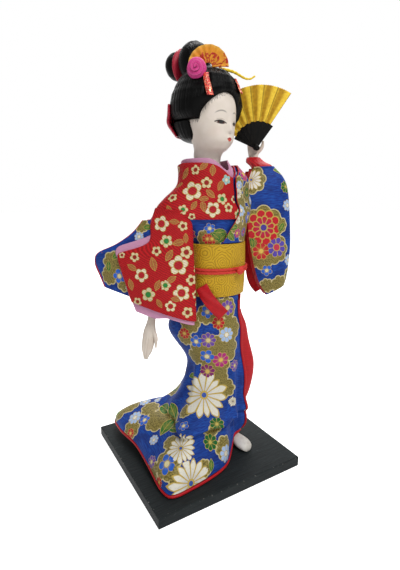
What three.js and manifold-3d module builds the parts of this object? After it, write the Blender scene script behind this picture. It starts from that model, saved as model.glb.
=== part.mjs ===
// A standing display doll in layered kimono, about 30 cm tall, on a square black board.
// Millimetres, +Z up. The origin is the middle of the board's underside.
// The doll is modelled in its own frame: it stands at x = y = 0 on the board's top,
// faces -Y and has its right hand towards -X. A group then turns it on the board.
import * as THREE from 'three';
import { mergeVertices } from 'three/addons/utils/BufferGeometryUtils.js';
import Module from 'manifold-3d';

const wasm = await Module();
wasm.setup();

// Clearance and cloth
const CLEAR = 0.3;
const CLOTH = 1.0;
const LINING = 0.8;
const OBI_CLOTH = 1.8;

// Board, post and screw
const BASE_SIDE = 116;
const BASE_THICKNESS = 8;
const BASE_BEVEL = 0.7;
const POST_RADIUS = 3.2;
const POST_SOCKET = 4;
const SCREW_RADIUS = 1.6;
const SCREW_LENGTH = 20;
const SCREW_HEAD_RADIUS = 3.6;
const SCREW_HEAD = 2;

// Where the doll stands on the board
const STAND_X = 19.6;
const STAND_Y = -2.4;
const STAND_TURN = 14;

// Heights above the board's top
const FOOT_TOP = 9;
const KNEE_HEIGHT = 62;
const HIP_HEIGHT = 96;
const FORM_BOTTOM = 104;
const OBI_BOTTOM = 121.5;
const OBI_TOP = 159;
const OBI_CORD_HEIGHT = (OBI_BOTTOM + OBI_TOP) / 2;
const ROBE_BOTTOM = 176;
const FORM_TOP = 199.5;
const COLLAR_RISE = 16.5;
const COLLAR_HEIGHT = FORM_TOP + COLLAR_RISE;

// Body form: half width and half depth
const WAIST_HALF_WIDTH = 18;
const WAIST_HALF_DEPTH = 13.5;
const CHEST_HALF_WIDTH = 21;
const CHEST_HALF_DEPTH = 17;
const SHOULDER_HALF_WIDTH = 22;
const COLLAR_HALF_WIDTH = 15;
const COLLAR_HALF_DEPTH = 17.5;

// Skirt padding: half width and half depth
const HIP_HALF_WIDTH = 22.5;
const HIP_HALF_DEPTH = 20;
const HIP_SWELL = 11;
const KNEE_HALF_WIDTH = 20.4;
const KNEE_HALF_DEPTH = 19.4;
const TRAIN_EDGE = 14;
const HEM_EDGE = 5;
const PIPING_RADIUS = 1.1;
const FOLD_COUNT = 9;
const FOLD_DEPTH = 2.2;

// Arms and hands
const WIRE_RADIUS = 1.1;
const ARM_RADIUS = 3.4;
const WRIST_RADIUS = 3;
const SLEEVE_HALF_DEPTH = 9;
const SLEEVE_GAP = 7;

// Head
const HEAD_X = -4;
const HEAD_Y = 7;
const NECK_RADIUS = 9.4;
const HEAD_HALF_WIDTH = 18;
const HEAD_HALF_DEPTH = 21;
const PEG_RADIUS = 2.4;
const HAIR_SIDE = 8.5;
const HAIR_FRONT = 3;
const HAIR_BOTTOM = 25;
const WIG_HALF_WIDTH = HEAD_HALF_WIDTH + HAIR_SIDE;
const WIG_HALF_DEPTH = HEAD_HALF_DEPTH + HAIR_FRONT;
const BUN_RADIUS = 12;
const CARD_RADIUS = 13.4;
const CARD_THICKNESS = 0.9;
const ROSE_RADIUS = 6;

// Folding fan
const FAN_STICKS = 8;
const FAN_RADIUS = 44;
const FAN_STICK_LENGTH = 18.8;
const FAN_FIRST_ANGLE = 56;
const FAN_SPREAD = 97;
const FAN_PITCH = 0.75;
const FAN_BLADE = 0.32;
const FAN_PLEAT = 0.28;
const RIVET_RADIUS = 0.9;

const vec = (x, y, z) => new THREE.Vector3(x, y, z);
const rad = THREE.MathUtils.degToRad;
const mix = THREE.MathUtils.lerp;
const smooth = THREE.MathUtils.smoothstep;

// Joining and cutting

function toSolid(geometry) {
  const bare = geometry.clone();
  bare.deleteAttribute('normal');
  bare.deleteAttribute('uv');
  const merged = mergeVertices(bare, 1e-4);
  const vertProperties = new Float32Array(merged.attributes.position.array);
  const triVerts = new Uint32Array(merged.index.array);
  return new wasm.Manifold(new wasm.Mesh({ numProp: 3, vertProperties, triVerts }));
}

function toGeometry(solid) {
  const { vertProperties, triVerts } = solid.getMesh();
  const geometry = new THREE.BufferGeometry();
  geometry.setAttribute('position', new THREE.BufferAttribute(vertProperties, 3));
  geometry.setIndex(new THREE.BufferAttribute(triVerts, 1));
  geometry.computeVertexNormals();
  return geometry;
}

const cut = (body, ...tools) =>
  toGeometry(tools.reduce((rest, tool) => rest.subtract(toSolid(tool)), toSolid(body)));

const join = (body, ...others) =>
  toGeometry(others.reduce((whole, other) => whole.add(toSolid(other)), toSolid(body)));

// A closed mesh from points and triangles, turned so that its faces point out
function closedMesh(points, triangles) {
  const volume = triangles.reduce((sum, [a, b, c]) => {
    const across = points[b].clone().cross(points[c]);
    return sum + points[a].dot(across);
  }, 0);
  const faces = volume < 0 ? triangles.map(([a, b, c]) => [a, c, b]) : triangles;
  const geometry = new THREE.BufferGeometry().setFromPoints(points);
  geometry.setIndex(faces.flat());
  geometry.computeVertexNormals();
  return geometry;
}

// A solid through a list of rings with equally many points, with a fan of triangles on each end
function loft(rings) {
  const sides = rings[0].length;
  const points = rings.flat();
  const triangles = [];
  for (let r = 0; r + 1 < rings.length; r += 1) {
    for (let k = 0; k < sides; k += 1) {
      const here = r * sides + k;
      const next = r * sides + ((k + 1) % sides);
      triangles.push([here, next, next + sides], [here, next + sides, here + sides]);
    }
  }
  [rings[0], rings.at(-1)].forEach((ring, end) => {
    const middle = points.length;
    points.push(ring.reduce((sum, p) => sum.add(p), vec(0, 0, 0)).divideScalar(sides));
    const start = end * (rings.length - 1) * sides;
    for (let k = 0; k < sides; k += 1) {
      const edge = [start + k, start + ((k + 1) % sides)];
      triangles.push(end ? [...edge, middle] : [...edge.reverse(), middle]);
    }
  });
  return closedMesh(points, triangles);
}

// Grid lines: both ends, and every multiple of the step between them
function gridLines(from, to, step) {
  const lines = [from];
  for (let i = Math.floor(from / step) + 1; i * step < to - step / 4; i += 1) {
    if (i * step > from + step / 4) lines.push(i * step);
  }
  return [...lines, to];
}

// A cloth panel between two offsets of one surface. at(column, row, offset) gives a point of it for
// each grid line in columns and rows. A closed panel joins its last column to its first.
function cloth(at, columns, rows, outer, inner, closed = false) {
  const width = columns.length;
  const points = [outer, inner].flatMap((offset) =>
    rows.flatMap((row) => columns.map((column) => at(column, row, offset))));
  const back = width * rows.length;
  const spans = closed ? width : width - 1;
  const triangles = [];
  const quad = (a, b, c, d) => triangles.push([a, b, c], [a, c, d]);
  for (let r = 0; r + 1 < rows.length; r += 1) {
    for (let k = 0; k < spans; k += 1) {
      const a = r * width + k;
      const b = r * width + ((k + 1) % width);
      quad(a, b, b + width, a + width);
      triangles.push([back + a, back + b + width, back + b]);
      triangles.push([back + a, back + a + width, back + b + width]);
    }
    if (!closed) {
      const a = r * width;
      const b = a + width - 1;
      quad(a, a + width, back + a + width, back + a);
      quad(b + width, b, back + b, back + b + width);
    }
  }
  for (let k = 0; k < spans; k += 1) {
    const next = (k + 1) % width;
    const last = (rows.length - 1) * width;
    quad(next, k, back + k, back + next);
    quad(last + k, last + next, back + last + next, back + last + k);
  }
  return closedMesh(points, triangles);
}

// Values between stations: a smooth curve through every number that the stations hold
function between(stations, share) {
  const place = Math.min(Math.max(share, 0), 1) * (stations.length - 1);
  const first = Math.min(Math.floor(place), stations.length - 2);
  const t = place - first;
  const pick = (i) => stations[Math.min(Math.max(i, 0), stations.length - 1)];
  const [p, a, b, q] = [pick(first - 1), pick(first), pick(first + 1), pick(first + 2)];
  const value = (key) => {
    const start = (b[key] - p[key]) / 2;
    const end = (q[key] - a[key]) / 2;
    const rise = b[key] - a[key];
    const curve = 3 * rise - 2 * start - end;
    const turn = start + end - 2 * rise;
    return a[key] + t * (start + t * (curve + t * turn));
  };
  return Object.fromEntries(Object.keys(a).map((key) => [key, value(key)]));
}

// Values at a height, for stations that are listed from low to high
function atHeight(stations, z) {
  const last = stations.length - 2;
  const above = stations.findIndex((s, i) => i <= last && z <= stations[i + 1].z);
  const i = above < 0 ? last : above;
  const [low, high] = [stations[i], stations[i + 1]];
  const t = THREE.MathUtils.clamp((z - low.z) / (high.z - low.z), 0, 1);
  const eased = t * t * (3 - 2 * t);
  const soft = (key) => mix(low[key], high[key], mix(t, eased, 0.5));
  return { x: soft('x'), y: soft('y'), a: soft('a'), b: soft('b') };
}

const ellipse = (s, z, grow, sides) =>
  Array.from({ length: sides }, (_, k) => {
    const turn = (2 * Math.PI * k) / sides;
    return vec(s.x + (s.a + grow) * Math.cos(turn), s.y + (s.b + grow) * Math.sin(turn), z);
  });

// A rounded body through stations from low to high, grown on every side
function rounded(stations, steps, sides, grow = 0) {
  const rings = [];
  for (let i = 0; i <= steps; i += 1) {
    const s = between(stations, i / steps);
    const end = (i === steps ? grow : 0) - (i === 0 ? grow : 0);
    rings.push(ellipse(s, s.z + end, grow, sides));
  }
  return loft(rings);
}

// A rod along points, with a width and a depth at each; side is the direction of the width
function rod(points, sizes, side, steps, sides, grow = 0) {
  const curve = new THREE.CatmullRomCurve3(points);
  const rings = [];
  for (let i = 0; i <= steps; i += 1) {
    const t = i / steps;
    const ahead = curve.getTangentAt(t);
    const depth = ahead.clone().cross(side).normalize();
    const width = depth.clone().cross(ahead).normalize();
    const size = between(sizes, t);
    const end = (i === steps ? grow : 0) - (i === 0 ? grow : 0);
    const centre = curve.getPointAt(t).addScaledVector(ahead, end);
    rings.push(Array.from({ length: sides }, (_, k) => {
      const turn = (2 * Math.PI * k) / sides;
      return centre.clone()
        .addScaledVector(width, (size.a + grow) * Math.cos(turn))
        .addScaledVector(depth, (size.b + grow) * Math.sin(turn));
    }));
  }
  return loft(rings);
}

const round = (radius) => [{ a: radius, b: radius }, { a: radius, b: radius }];

// An upright round bar between two heights
function bar(x, y, bottom, top, radius, sides = 16) {
  const geometry = new THREE.CylinderGeometry(radius, radius, top - bottom, sides);
  return geometry.rotateX(Math.PI / 2).translate(x, y, (top + bottom) / 2);
}

// Finishes
const paint = (color, roughness, metalness = 0) =>
  new THREE.MeshStandardMaterial({ color, roughness, metalness });
const BLACK_BOARD = paint(0x24282a, 0.45);
const STEEL = paint(0xa8aaad, 0.35, 1);
const PADDING = paint(0xe8e0d0, 0.95);
const PORCELAIN = paint(0xf1e9df, 0.5);
const HAIR = paint(0x0d0d0f, 0.4);
const BLUE_BROCADE = paint(0x1c3fae, 0.6);
const RED_CREPE = paint(0xc8161e, 0.65);
const RED_SATIN = paint(0xd01722, 0.4);
const PINK_SILK = paint(0xe49ac8, 0.5);
const GOLD_BROCADE = paint(0xc9a018, 0.5);
const GOLD_PAPER = paint(0xd4ac2c, 0.35, 0.6);
const BLACK_LACQUER = paint(0x15130f, 0.35);
const ROSE_SATIN = paint(0xd9307a, 0.5);
const ORANGE_CARD = paint(0xe08a1c, 0.45);

const doll = new THREE.Group();
const figure = new THREE.Group();
figure.position.set(STAND_X, STAND_Y, BASE_THICKNESS);
figure.rotation.z = rad(STAND_TURN);
const head = new THREE.Group();
head.position.set(HEAD_X, HEAD_Y, COLLAR_HEIGHT);
figure.add(head);
doll.add(figure);

function add(group, name, geometry, finish) {
  const mesh = new THREE.Mesh(geometry, finish);
  mesh.name = name;
  group.add(mesh);
}

// Board with a socket for the post above and a counterbore for the screw below
const board = new THREE.Shape([
  new THREE.Vector2(-BASE_SIDE / 2, -BASE_SIDE / 2),
  new THREE.Vector2(BASE_SIDE / 2, -BASE_SIDE / 2),
  new THREE.Vector2(BASE_SIDE / 2, BASE_SIDE / 2),
  new THREE.Vector2(-BASE_SIDE / 2, BASE_SIDE / 2),
]);
const boardSolid = new THREE.ExtrudeGeometry(board, {
  depth: BASE_THICKNESS - 2 * BASE_BEVEL,
  bevelThickness: BASE_BEVEL,
  bevelSize: BASE_BEVEL,
  bevelOffset: -BASE_BEVEL,
  bevelSegments: 2,
}).translate(0, 0, BASE_BEVEL);
const socketFloor = BASE_THICKNESS - POST_SOCKET;
const counterbore = SCREW_HEAD + 2 * CLEAR;
add(doll, 'base_board', cut(
  boardSolid,
  bar(STAND_X, STAND_Y, socketFloor, BASE_THICKNESS + 1, POST_RADIUS + CLEAR),
  bar(STAND_X, STAND_Y, -1, BASE_THICKNESS, SCREW_RADIUS + CLEAR),
  bar(STAND_X, STAND_Y, -1, counterbore, SCREW_HEAD_RADIUS + CLEAR),
), BLACK_BOARD);
const screwTop = counterbore - CLEAR + SCREW_LENGTH;
add(doll, 'post_screw', join(
  bar(STAND_X, STAND_Y, CLEAR, counterbore - CLEAR, SCREW_HEAD_RADIUS),
  bar(STAND_X, STAND_Y, counterbore - CLEAR - 0.5, screwTop, SCREW_RADIUS),
), STEEL);

// Post, from its socket up into the body form
const postBottom = CLEAR - POST_SOCKET;
const postTop = OBI_TOP - 20;
add(figure, 'support_post', cut(
  bar(0, 0, postBottom, postTop, POST_RADIUS),
  bar(0, 0, postBottom - 1, screwTop - BASE_THICKNESS + CLEAR, SCREW_RADIUS + CLEAR),
), STEEL);
const postRoom = bar(0, 0, -1, postTop + CLEAR, POST_RADIUS + CLEAR);

// Body form. Every garment layer follows this surface at its own offset.
const bodyStations = [
  { z: FORM_BOTTOM, x: 0, y: 0, a: WAIST_HALF_WIDTH, b: WAIST_HALF_DEPTH },
  { z: OBI_BOTTOM, x: 0, y: 0, a: WAIST_HALF_WIDTH, b: WAIST_HALF_DEPTH },
  { z: OBI_TOP, x: 0, y: 0, a: WAIST_HALF_WIDTH, b: WAIST_HALF_DEPTH + 0.5 },
  { z: ROBE_BOTTOM + 4, x: 0, y: 0.5, a: CHEST_HALF_WIDTH, b: CHEST_HALF_DEPTH },
  { z: FORM_TOP - 8, x: -2, y: 3, a: SHOULDER_HALF_WIDTH, b: CHEST_HALF_DEPTH - 0.5 },
  { z: COLLAR_HEIGHT - 11, x: -3, y: 6, a: COLLAR_HALF_WIDTH + 4, b: COLLAR_HALF_DEPTH + 1.5 },
  { z: COLLAR_HEIGHT + 4, x: -5, y: 10.5, a: COLLAR_HALF_WIDTH + 0.8, b: COLLAR_HALF_DEPTH },
];

// Each shoulder swells out over the upper arm
const shoulders = [
  { turn: 155, z: FORM_TOP - 18.5, swell: 22, spread: 30, height: 13 },
  { turn: 338, z: FORM_TOP - 11.5, swell: 5, spread: 26, height: 9 },
  { turn: 325, z: FORM_TOP + 3, swell: 5, spread: 34, height: 8 },
];
const angleApart = (a, b) => ((((a - b) % 360) + 540) % 360) - 180;
function bodyPoint(turn, z, offset) {
  const s = atHeight(bodyStations, z);
  const swell = shoulders.reduce((sum, side) => {
    const around = angleApart(turn, side.turn) / side.spread;
    const up = (z - side.z) / side.height;
    return sum + side.swell * Math.exp(-around * around - up * up);
  }, 0);
  const reach = offset + swell;
  const t = rad(turn);
  return vec(s.x + (s.a + reach) * Math.cos(t), s.y + (s.b + reach) * Math.sin(t), z);
}
const BODY_STEP = 20;
const bodyTurns = gridLines(0, 360, BODY_STEP).slice(0, -1);
const NECKLINE = FORM_TOP - 3.5;
const shoulderLevels = gridLines(ROBE_BOTTOM, NECKLINE, 5);
const bodyLevels = [OBI_BOTTOM + 2, OBI_CORD_HEIGHT, OBI_TOP + 1, mix(OBI_TOP, ROBE_BOTTOM, 0.55),
  ...shoulderLevels];
const bodyRing = (z, offset) => bodyTurns.map((turn) => bodyPoint(turn, z, offset));
const bodySolid = (levels, offset) => loft(levels.map((z) => bodyRing(z, offset)));
const torsoForm = loft([
  bodyRing(FORM_BOTTOM, 0), ...bodyLevels.map((z) => bodyRing(z, 0)), bodyRing(FORM_TOP, -CLOTH),
]);

// Arms: wire from inside the shoulder to the hand, wrapped in padding. Arms, sleeves and hands hang
// from the shoulders, so their heights are given as a drop below the form's top. The right ones stay
// outside the hip.
const drop = (x, y, down) => vec(x, y, FORM_TOP - down);
const rightX = -(HIP_HALF_WIDTH + SLEEVE_GAP);
const rightWrist = drop(rightX - 17.8, 19.2, 91.5);
const rightArm = [
  drop(-12, 3, 7.5), drop(-24, 8, 11.5), drop(rightX - 4, 12, 25.5), drop(rightX - 12, 15, 49.5),
  drop(rightX - 16.3, 17.5, 77.5), rightWrist, drop(rightX - 18.4, 19.8, 100.5),
];
const leftArm = [
  drop(12, 3, 7.5), drop(25, -3, 8.5), drop(37, -11, 9.5), drop(44.5, -18.5, 4.5),
  drop(44, -11.5, -8.5), drop(45.2, -1.5, -15.5), drop(45.6, 3.2, -19.5), drop(47.2, 5.4, -26.5),
];
const SIDE_AXIS = vec(0.2, 1, 0.1);
const wire = (points, grow) => rod(points, round(WIRE_RADIUS), SIDE_AXIS, 14, 6, grow);
function armWrap(points, from, to, grow) {
  const curve = new THREE.CatmullRomCurve3(points);
  const stretch = Array.from({ length: 7 }, (_, i) => curve.getPointAt(mix(from, to, i / 6)));
  const sizes = [{ a: ARM_RADIUS, b: ARM_RADIUS }, { a: WRIST_RADIUS, b: WRIST_RADIUS }];
  return rod(stretch, sizes, SIDE_AXIS, 9, 8, grow);
}
const WRAP_FROM = 0.12;
const WRAP_TO = 0.82;
const rightWire = wire(rightArm, 0);
const leftWire = wire(leftArm, 0);
const rightRoom = armWrap(rightArm, WRAP_FROM, WRAP_TO, CLEAR);
const leftRoom = armWrap(leftArm, WRAP_FROM, WRAP_TO, CLEAR);
const rightWireRoom = wire(rightArm, CLEAR);
const leftWireRoom = wire(leftArm, CLEAR);

const pegBottom = FORM_TOP - 14;
const pegTop = COLLAR_HEIGHT + 16;
const pegRoom = bar(HEAD_X, HEAD_Y, pegBottom - CLEAR, pegTop + CLEAR, PEG_RADIUS + CLEAR);
add(figure, 'torso_form', cut(torsoForm, postRoom, pegRoom, rightRoom, leftRoom,
  rightWireRoom, leftWireRoom), PADDING);
add(figure, 'head_peg', bar(HEAD_X, HEAD_Y, pegBottom, pegTop, PEG_RADIUS), STEEL);
add(figure, 'right_arm_wire', rightWire, STEEL);
add(figure, 'left_arm_wire', leftWire, STEEL);
add(figure, 'right_arm_wrap', cut(armWrap(rightArm, WRAP_FROM, WRAP_TO, 0), rightWireRoom), PADDING);
add(figure, 'left_arm_wrap', cut(armWrap(leftArm, WRAP_FROM, WRAP_TO, 0), leftWireRoom), PADDING);

// Hem outline on the board, from the front edge round by the doll's right side and the train
const hemOutline = new THREE.CatmullRomCurve3([
  vec(7, -17, 0), vec(-9, -26.5, 0), vec(-26, -35, 0), vec(-57, -34, 0), vec(-73, -29.5, 0),
  vec(-74, -22, 0), vec(-68, 0, 0), vec(-62, 24, 0), vec(-59, 50, 0), vec(-51, 67, 0),
  vec(-25, 57, 0), vec(0, 42, 0), vec(18, 26, 0), vec(25, 6, 0), vec(21, -10, 0),
], true);
const hemPolar = hemOutline.getPoints(360).map((p) => ({
  turn: THREE.MathUtils.euclideanModulo(THREE.MathUtils.radToDeg(Math.atan2(p.y, p.x)), 360),
  reach: Math.hypot(p.x, p.y),
})).sort((p, q) => p.turn - q.turn);
function hemReach(turn) {
  const angle = THREE.MathUtils.euclideanModulo(turn, 360);
  const above = hemPolar.findIndex((p) => p.turn >= angle);
  const next = hemPolar[above < 0 ? 0 : above];
  const last = hemPolar.at((above < 0 ? 0 : above) - 1);
  const gap = THREE.MathUtils.euclideanModulo(next.turn - last.turn, 360);
  const t = THREE.MathUtils.euclideanModulo(angle - last.turn, 360) / (gap || 1);
  return mix(last.reach, next.reach, t);
}

// Skirt surface: waist, hip and knee sections, then a flare to the hem outline. The cloth runs out
// over the board and drops over a padded edge, which is highest at the train.
const waist = { x: 0, y: 0, a: WAIST_HALF_WIDTH + 1, b: WAIST_HALF_DEPTH + 1 };
const hip = { x: -1.5, y: 2, a: HIP_HALF_WIDTH, b: HIP_HALF_DEPTH };
const knee = { x: 0, y: 1, a: KNEE_HALF_WIDTH, b: KNEE_HALF_DEPTH };
const SPREAD_HEIGHT = KNEE_HEIGHT - 33;
const HEM_TUCK = 0.22;
const skirtSections = [
  { z: OBI_BOTTOM - CLEAR, flare: 0, fall: 1, ...waist },
  { z: HIP_HEIGHT + 11, flare: 0, fall: 1, ...hip, a: hip.a - 1.5, b: hip.b - 2 },
  { z: HIP_HEIGHT, flare: 0, fall: 1, ...hip },
  { z: mix(HIP_HEIGHT, KNEE_HEIGHT, 0.4), flare: 0, fall: 1, ...hip, a: hip.a - 0.5, b: hip.b },
  { z: mix(HIP_HEIGHT, KNEE_HEIGHT, 0.75), flare: 0, fall: 1, ...knee },
  { z: KNEE_HEIGHT, flare: 0, fall: 1, ...knee },
  { z: mix(KNEE_HEIGHT, SPREAD_HEIGHT, 0.35), flare: 0.06, fall: 1, ...knee },
  { z: mix(KNEE_HEIGHT, SPREAD_HEIGHT, 0.75), flare: 0.2, fall: 1, ...knee },
  { z: SPREAD_HEIGHT, flare: 0.36, fall: 1, ...knee },
  { z: SPREAD_HEIGHT, flare: 0.57, fall: 0.8, ...knee },
  { z: SPREAD_HEIGHT, flare: 0.79, fall: 0.47, ...knee },
  { z: SPREAD_HEIGHT, flare: 0.95, fall: 0.07, ...knee },
  { z: SPREAD_HEIGHT, flare: 1, fall: -HEM_TUCK, ...knee },
];
const SKIRT_ROWS = 12;
const skirtShares = Array.from({ length: SKIRT_ROWS + 1 }, (_, i) => i / SKIRT_ROWS);
const SKIRT_STEP = 10;
const skirtOuter = 2 * CLEAR + LINING + CLOTH;
const skirtInner = 2 * CLEAR + LINING;
const pipingTop = CLEAR + 2 * PIPING_RADIUS;
const hemBottom = pipingTop + 2 * CLEAR;

// The hem is lifted over the feet, on both sides of the front opening
const FRONT_OPENING = 312;
const LIFTED = 40;
const LYING = 66;
const hemLift = (turn) =>
  FOOT_TOP * (1 - smooth(Math.abs(angleApart(turn, FRONT_OPENING)), LIFTED, LYING));
const TRAIN_TURN = 145;
const trainEdge = (turn) =>
  mix(HEM_EDGE, TRAIN_EDGE, Math.max(0, Math.cos(rad(angleApart(turn, TRAIN_TURN)))) ** 2);
// Hanging folds fan out from the knees towards the hem, where the hem reaches far enough out
const FOLDS_FROM = 24;
const FOLDS_FULL = 50;
const foldDepth = (turn, flare) =>
  FOLD_DEPTH * 4 * flare * (1 - flare) * Math.cos(rad(FOLD_COUNT * turn))
  * smooth(hemReach(turn), FOLDS_FROM, FOLDS_FULL);

// The cloth bulges over the hip at the back of the right side
const SWELL_TURN = 136;
const SWELL_SPREAD = 36;
const SWELL_HEIGHT = 15;
function hipSwell(turn, z) {
  const around = angleApart(turn, SWELL_TURN) / SWELL_SPREAD;
  const up = (z - HIP_HEIGHT) / SWELL_HEIGHT;
  return HIP_SWELL * Math.exp(-around * around - up * up);
}

function skirtPoint(turn, share, offset) {
  const s = between(skirtSections, share);
  const t = rad(turn);
  const reachOut = Math.max(0, hemReach(turn) - skirtOuter - KNEE_HALF_WIDTH);
  const grow = offset + s.flare * reachOut + foldDepth(turn, s.flare) + hipSwell(turn, s.z);
  const lift = hemLift(turn);
  const edge = trainEdge(turn) + lift;
  const fall = Math.max(s.fall, -HEM_TUCK);
  const z = s.fall < 1 ? mix(edge, s.z, fall) : s.z;
  const height = Math.max(z, hemBottom + lift);
  return vec(s.x + (s.a + grow) * Math.cos(t), s.y + (s.b + grow) * Math.sin(t), height);
}

// Skirt: wraps from its front edge round the right side and the train to the far edge
const FRONT_EDGE_TOP = 284;
const FRONT_EDGE_LOW = 291;
const frontEdge = (share) => mix(FRONT_EDGE_TOP, FRONT_EDGE_LOW, smooth(share, 0, 0.5));
const FAR_EDGE = -28;
const FRONT_COLUMN = 280;
const skirtColumns = gridLines(FAR_EDGE, FRONT_COLUMN + SKIRT_STEP, SKIRT_STEP);
const skirtCloth = (column, share, offset) =>
  skirtPoint(column > FRONT_COLUMN ? frontEdge(share) : column, share, offset);
add(figure, 'skirt', cloth(skirtCloth, skirtColumns, skirtShares, skirtOuter, skirtInner), BLUE_BROCADE);

// Red under-panel in the front opening, swelling forward over the knees
const PANEL_FROM = 279;
const PANEL_TO = 340;
const PANEL_SWELL = 9;
const PANEL_ROWS = 9;
const panelShares = skirtShares.slice(1, PANEL_ROWS);
function underPanelPoint(turn, share, offset) {
  const right = smooth(turn, FRONT_EDGE_LOW + 2, FRONT_OPENING);
  const left = 1 - smooth(turn, FRONT_OPENING, 360 + FAR_EDGE - 2);
  const down = (share - panelShares[0]) / (panelShares.at(-1) - panelShares[0]);
  const swell = PANEL_SWELL * right * left * Math.sin(Math.PI * down ** 1.3);
  return skirtPoint(turn, share, offset + swell);
}
add(figure, 'under_panel', cloth(underPanelPoint, gridLines(PANEL_FROM, PANEL_TO, SKIRT_STEP / 2),
  panelShares, CLEAR + LINING, CLEAR), RED_SATIN);

// Red piping under the whole hem
const pipingPath = skirtColumns.map((column) => {
  const rim = skirtCloth(column, 1, (skirtOuter + skirtInner) / 2);
  return rim.setZ(rim.z - 2 * CLEAR - PIPING_RADIUS);
});
const PIPING_SIDES = 6;
const pipingRings = pipingPath.map((middle, i) => {
  const ahead = pipingPath[i + 1] ?? middle;
  const behind = pipingPath[i - 1] ?? middle;
  const across = ahead.clone().sub(behind).cross(vec(0, 0, 1)).normalize();
  return Array.from({ length: PIPING_SIDES }, (_, k) => {
    const turn = (2 * Math.PI * (k + 0.5)) / PIPING_SIDES;
    return middle.clone().addScaledVector(across, PIPING_RADIUS * Math.cos(turn))
      .add(vec(0, 0, PIPING_RADIUS * Math.sin(turn)));
  });
});
add(figure, 'hem_piping', loft(pipingRings), RED_SATIN);

// Skirt padding over the post, with room for the feet
const paddingTurns = gridLines(0, 360, SKIRT_STEP).slice(0, -1);
const paddingRings = skirtShares.slice(3).reverse().map(
  (share) => paddingTurns.map((turn) => skirtPoint(turn, share, 0)));
const FOOT_ROOM_WIDTH = 36;
const FOOT_ROOM_BACK = 8;
const footRoom = new THREE.BoxGeometry(FOOT_ROOM_WIDTH, BASE_SIDE, 2 * (FOOT_TOP + 2 * CLEAR))
  .translate(2, FOOT_ROOM_BACK - BASE_SIDE / 2, 0);
add(figure, 'skirt_padding', cut(loft(paddingRings), postRoom, footRoom), PADDING);

// Feet in split-toed socks
const FOOT_SIDES = 10;
function foot(toe, heel) {
  const along = toe.clone().sub(heel);
  const at = (t, z) => heel.clone().addScaledVector(along, t).setZ(z);
  const side = vec(-along.y, along.x, 0).normalize();
  const rings = [
    { t: 0, a: 1.4, b: 0.15 }, { t: 0.06, a: 3.8, b: 0.4 }, { t: 0.35, a: 4.4, b: 0.47 },
    { t: 0.72, a: 6, b: 0.4 }, { t: 0.93, a: 4.8, b: 0.3 }, { t: 1, a: 2.4, b: 0.15 },
  ];
  return loft(rings.map(({ t, a, b }) => Array.from({ length: FOOT_SIDES }, (_, k) => {
    const turn = (2 * Math.PI * k) / FOOT_SIDES;
    const height = CLEAR + b * FOOT_TOP * (1 + Math.sin(turn));
    return at(t, height).addScaledVector(side, a * Math.cos(turn));
  })));
}
add(figure, 'left_foot', foot(vec(1.5, -33, 0), vec(4.5, -9, 0)), PORCELAIN);
add(figure, 'right_foot', foot(vec(-10.5, -22, 0), vec(-9.5, 2, 0)), PORCELAIN);

// Garment layers of the upper body
const layer = (n) => n * (CLOTH + CLEAR) + CLEAR;
const NECK_V_TURN = 272;
const NECK_V_SPREAD = 20;
const NECK_V_DEPTH = 8;
const NAPE_DEPTH = 4;
const COLLAR_DROP = 1.5;
const collarDip = (turn) => {
  const around = angleApart(turn, NECK_V_TURN) / NECK_V_SPREAD;
  const back = Math.max(0, Math.sin(rad(turn)));
  return NECK_V_DEPTH * Math.exp(-around * around) + NAPE_DEPTH * back * back;
};
const collarTop = (turn) => COLLAR_HEIGHT - COLLAR_DROP - collarDip(turn);
// Rows up to the neckline are heights; a row above it is the share of the way to the top edge
const collarRows = [0.3, 0.65, 1].map((share) => NECKLINE + share);
function garment(top, edgeTurn = (turn) => turn) {
  return (column, row, offset) => {
    const turn = edgeTurn(column, row);
    const z = row <= NECKLINE ? row : mix(NECKLINE, top(turn), row - NECKLINE);
    return bodyPoint(turn, z, offset);
  };
}
const bodice = cloth(garment(collarTop), bodyTurns, [...bodyLevels, ...collarRows],
  layer(0) + CLOTH, layer(0), true);
add(figure, 'bodice', cut(bodice, rightRoom, leftRoom), BLUE_BROCADE);

const ROBE_BACK = 5 * BODY_STEP;
const ROBE_FRONT = 13.6 * BODY_STEP;
const robe = cloth(garment(collarTop), gridLines(ROBE_BACK, ROBE_FRONT, BODY_STEP),
  [...shoulderLevels, ...collarRows], layer(1) + CLOTH, layer(1));
add(figure, 'red_robe', cut(robe, rightRoom), RED_CREPE);

// The left front laps over the right one, its edge running from the neck down to the right hip
const LAPEL_BACK = 372;
const lapelRows = [OBI_TOP + 2 * CLEAR, ...bodyLevels.slice(3), ...collarRows];
const LAPEL_LOW = 226;
const LAPEL_HIGH = 284;
const lapelEdge = (row) => mix(LAPEL_LOW, LAPEL_HIGH, smooth(row, OBI_TOP - 30, NECKLINE + 1));
const lapelTurn = (share, row) => mix(lapelEdge(row), LAPEL_BACK, share);
const lapel = cloth(garment((turn) => collarTop(turn) - CLEAR, lapelTurn), gridLines(0, 1, 1 / 10),
  lapelRows, layer(2) + CLOTH + CLEAR, layer(2) + CLEAR);
add(figure, 'front_lapel', cut(lapel, leftRoom), BLUE_BROCADE);

const PINK_SHOWS = 2.2;
const pinkPoint = (turn, share, offset) =>
  bodyPoint(turn, mix(FORM_TOP + CLEAR, collarTop(turn) + PINK_SHOWS, share), offset);
add(figure, 'pink_collar', cloth(pinkPoint, bodyTurns, [0, 0.3, 0.65, 1],
  -3 * CLEAR, -3 * CLEAR - LINING, true), PINK_SILK);

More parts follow.
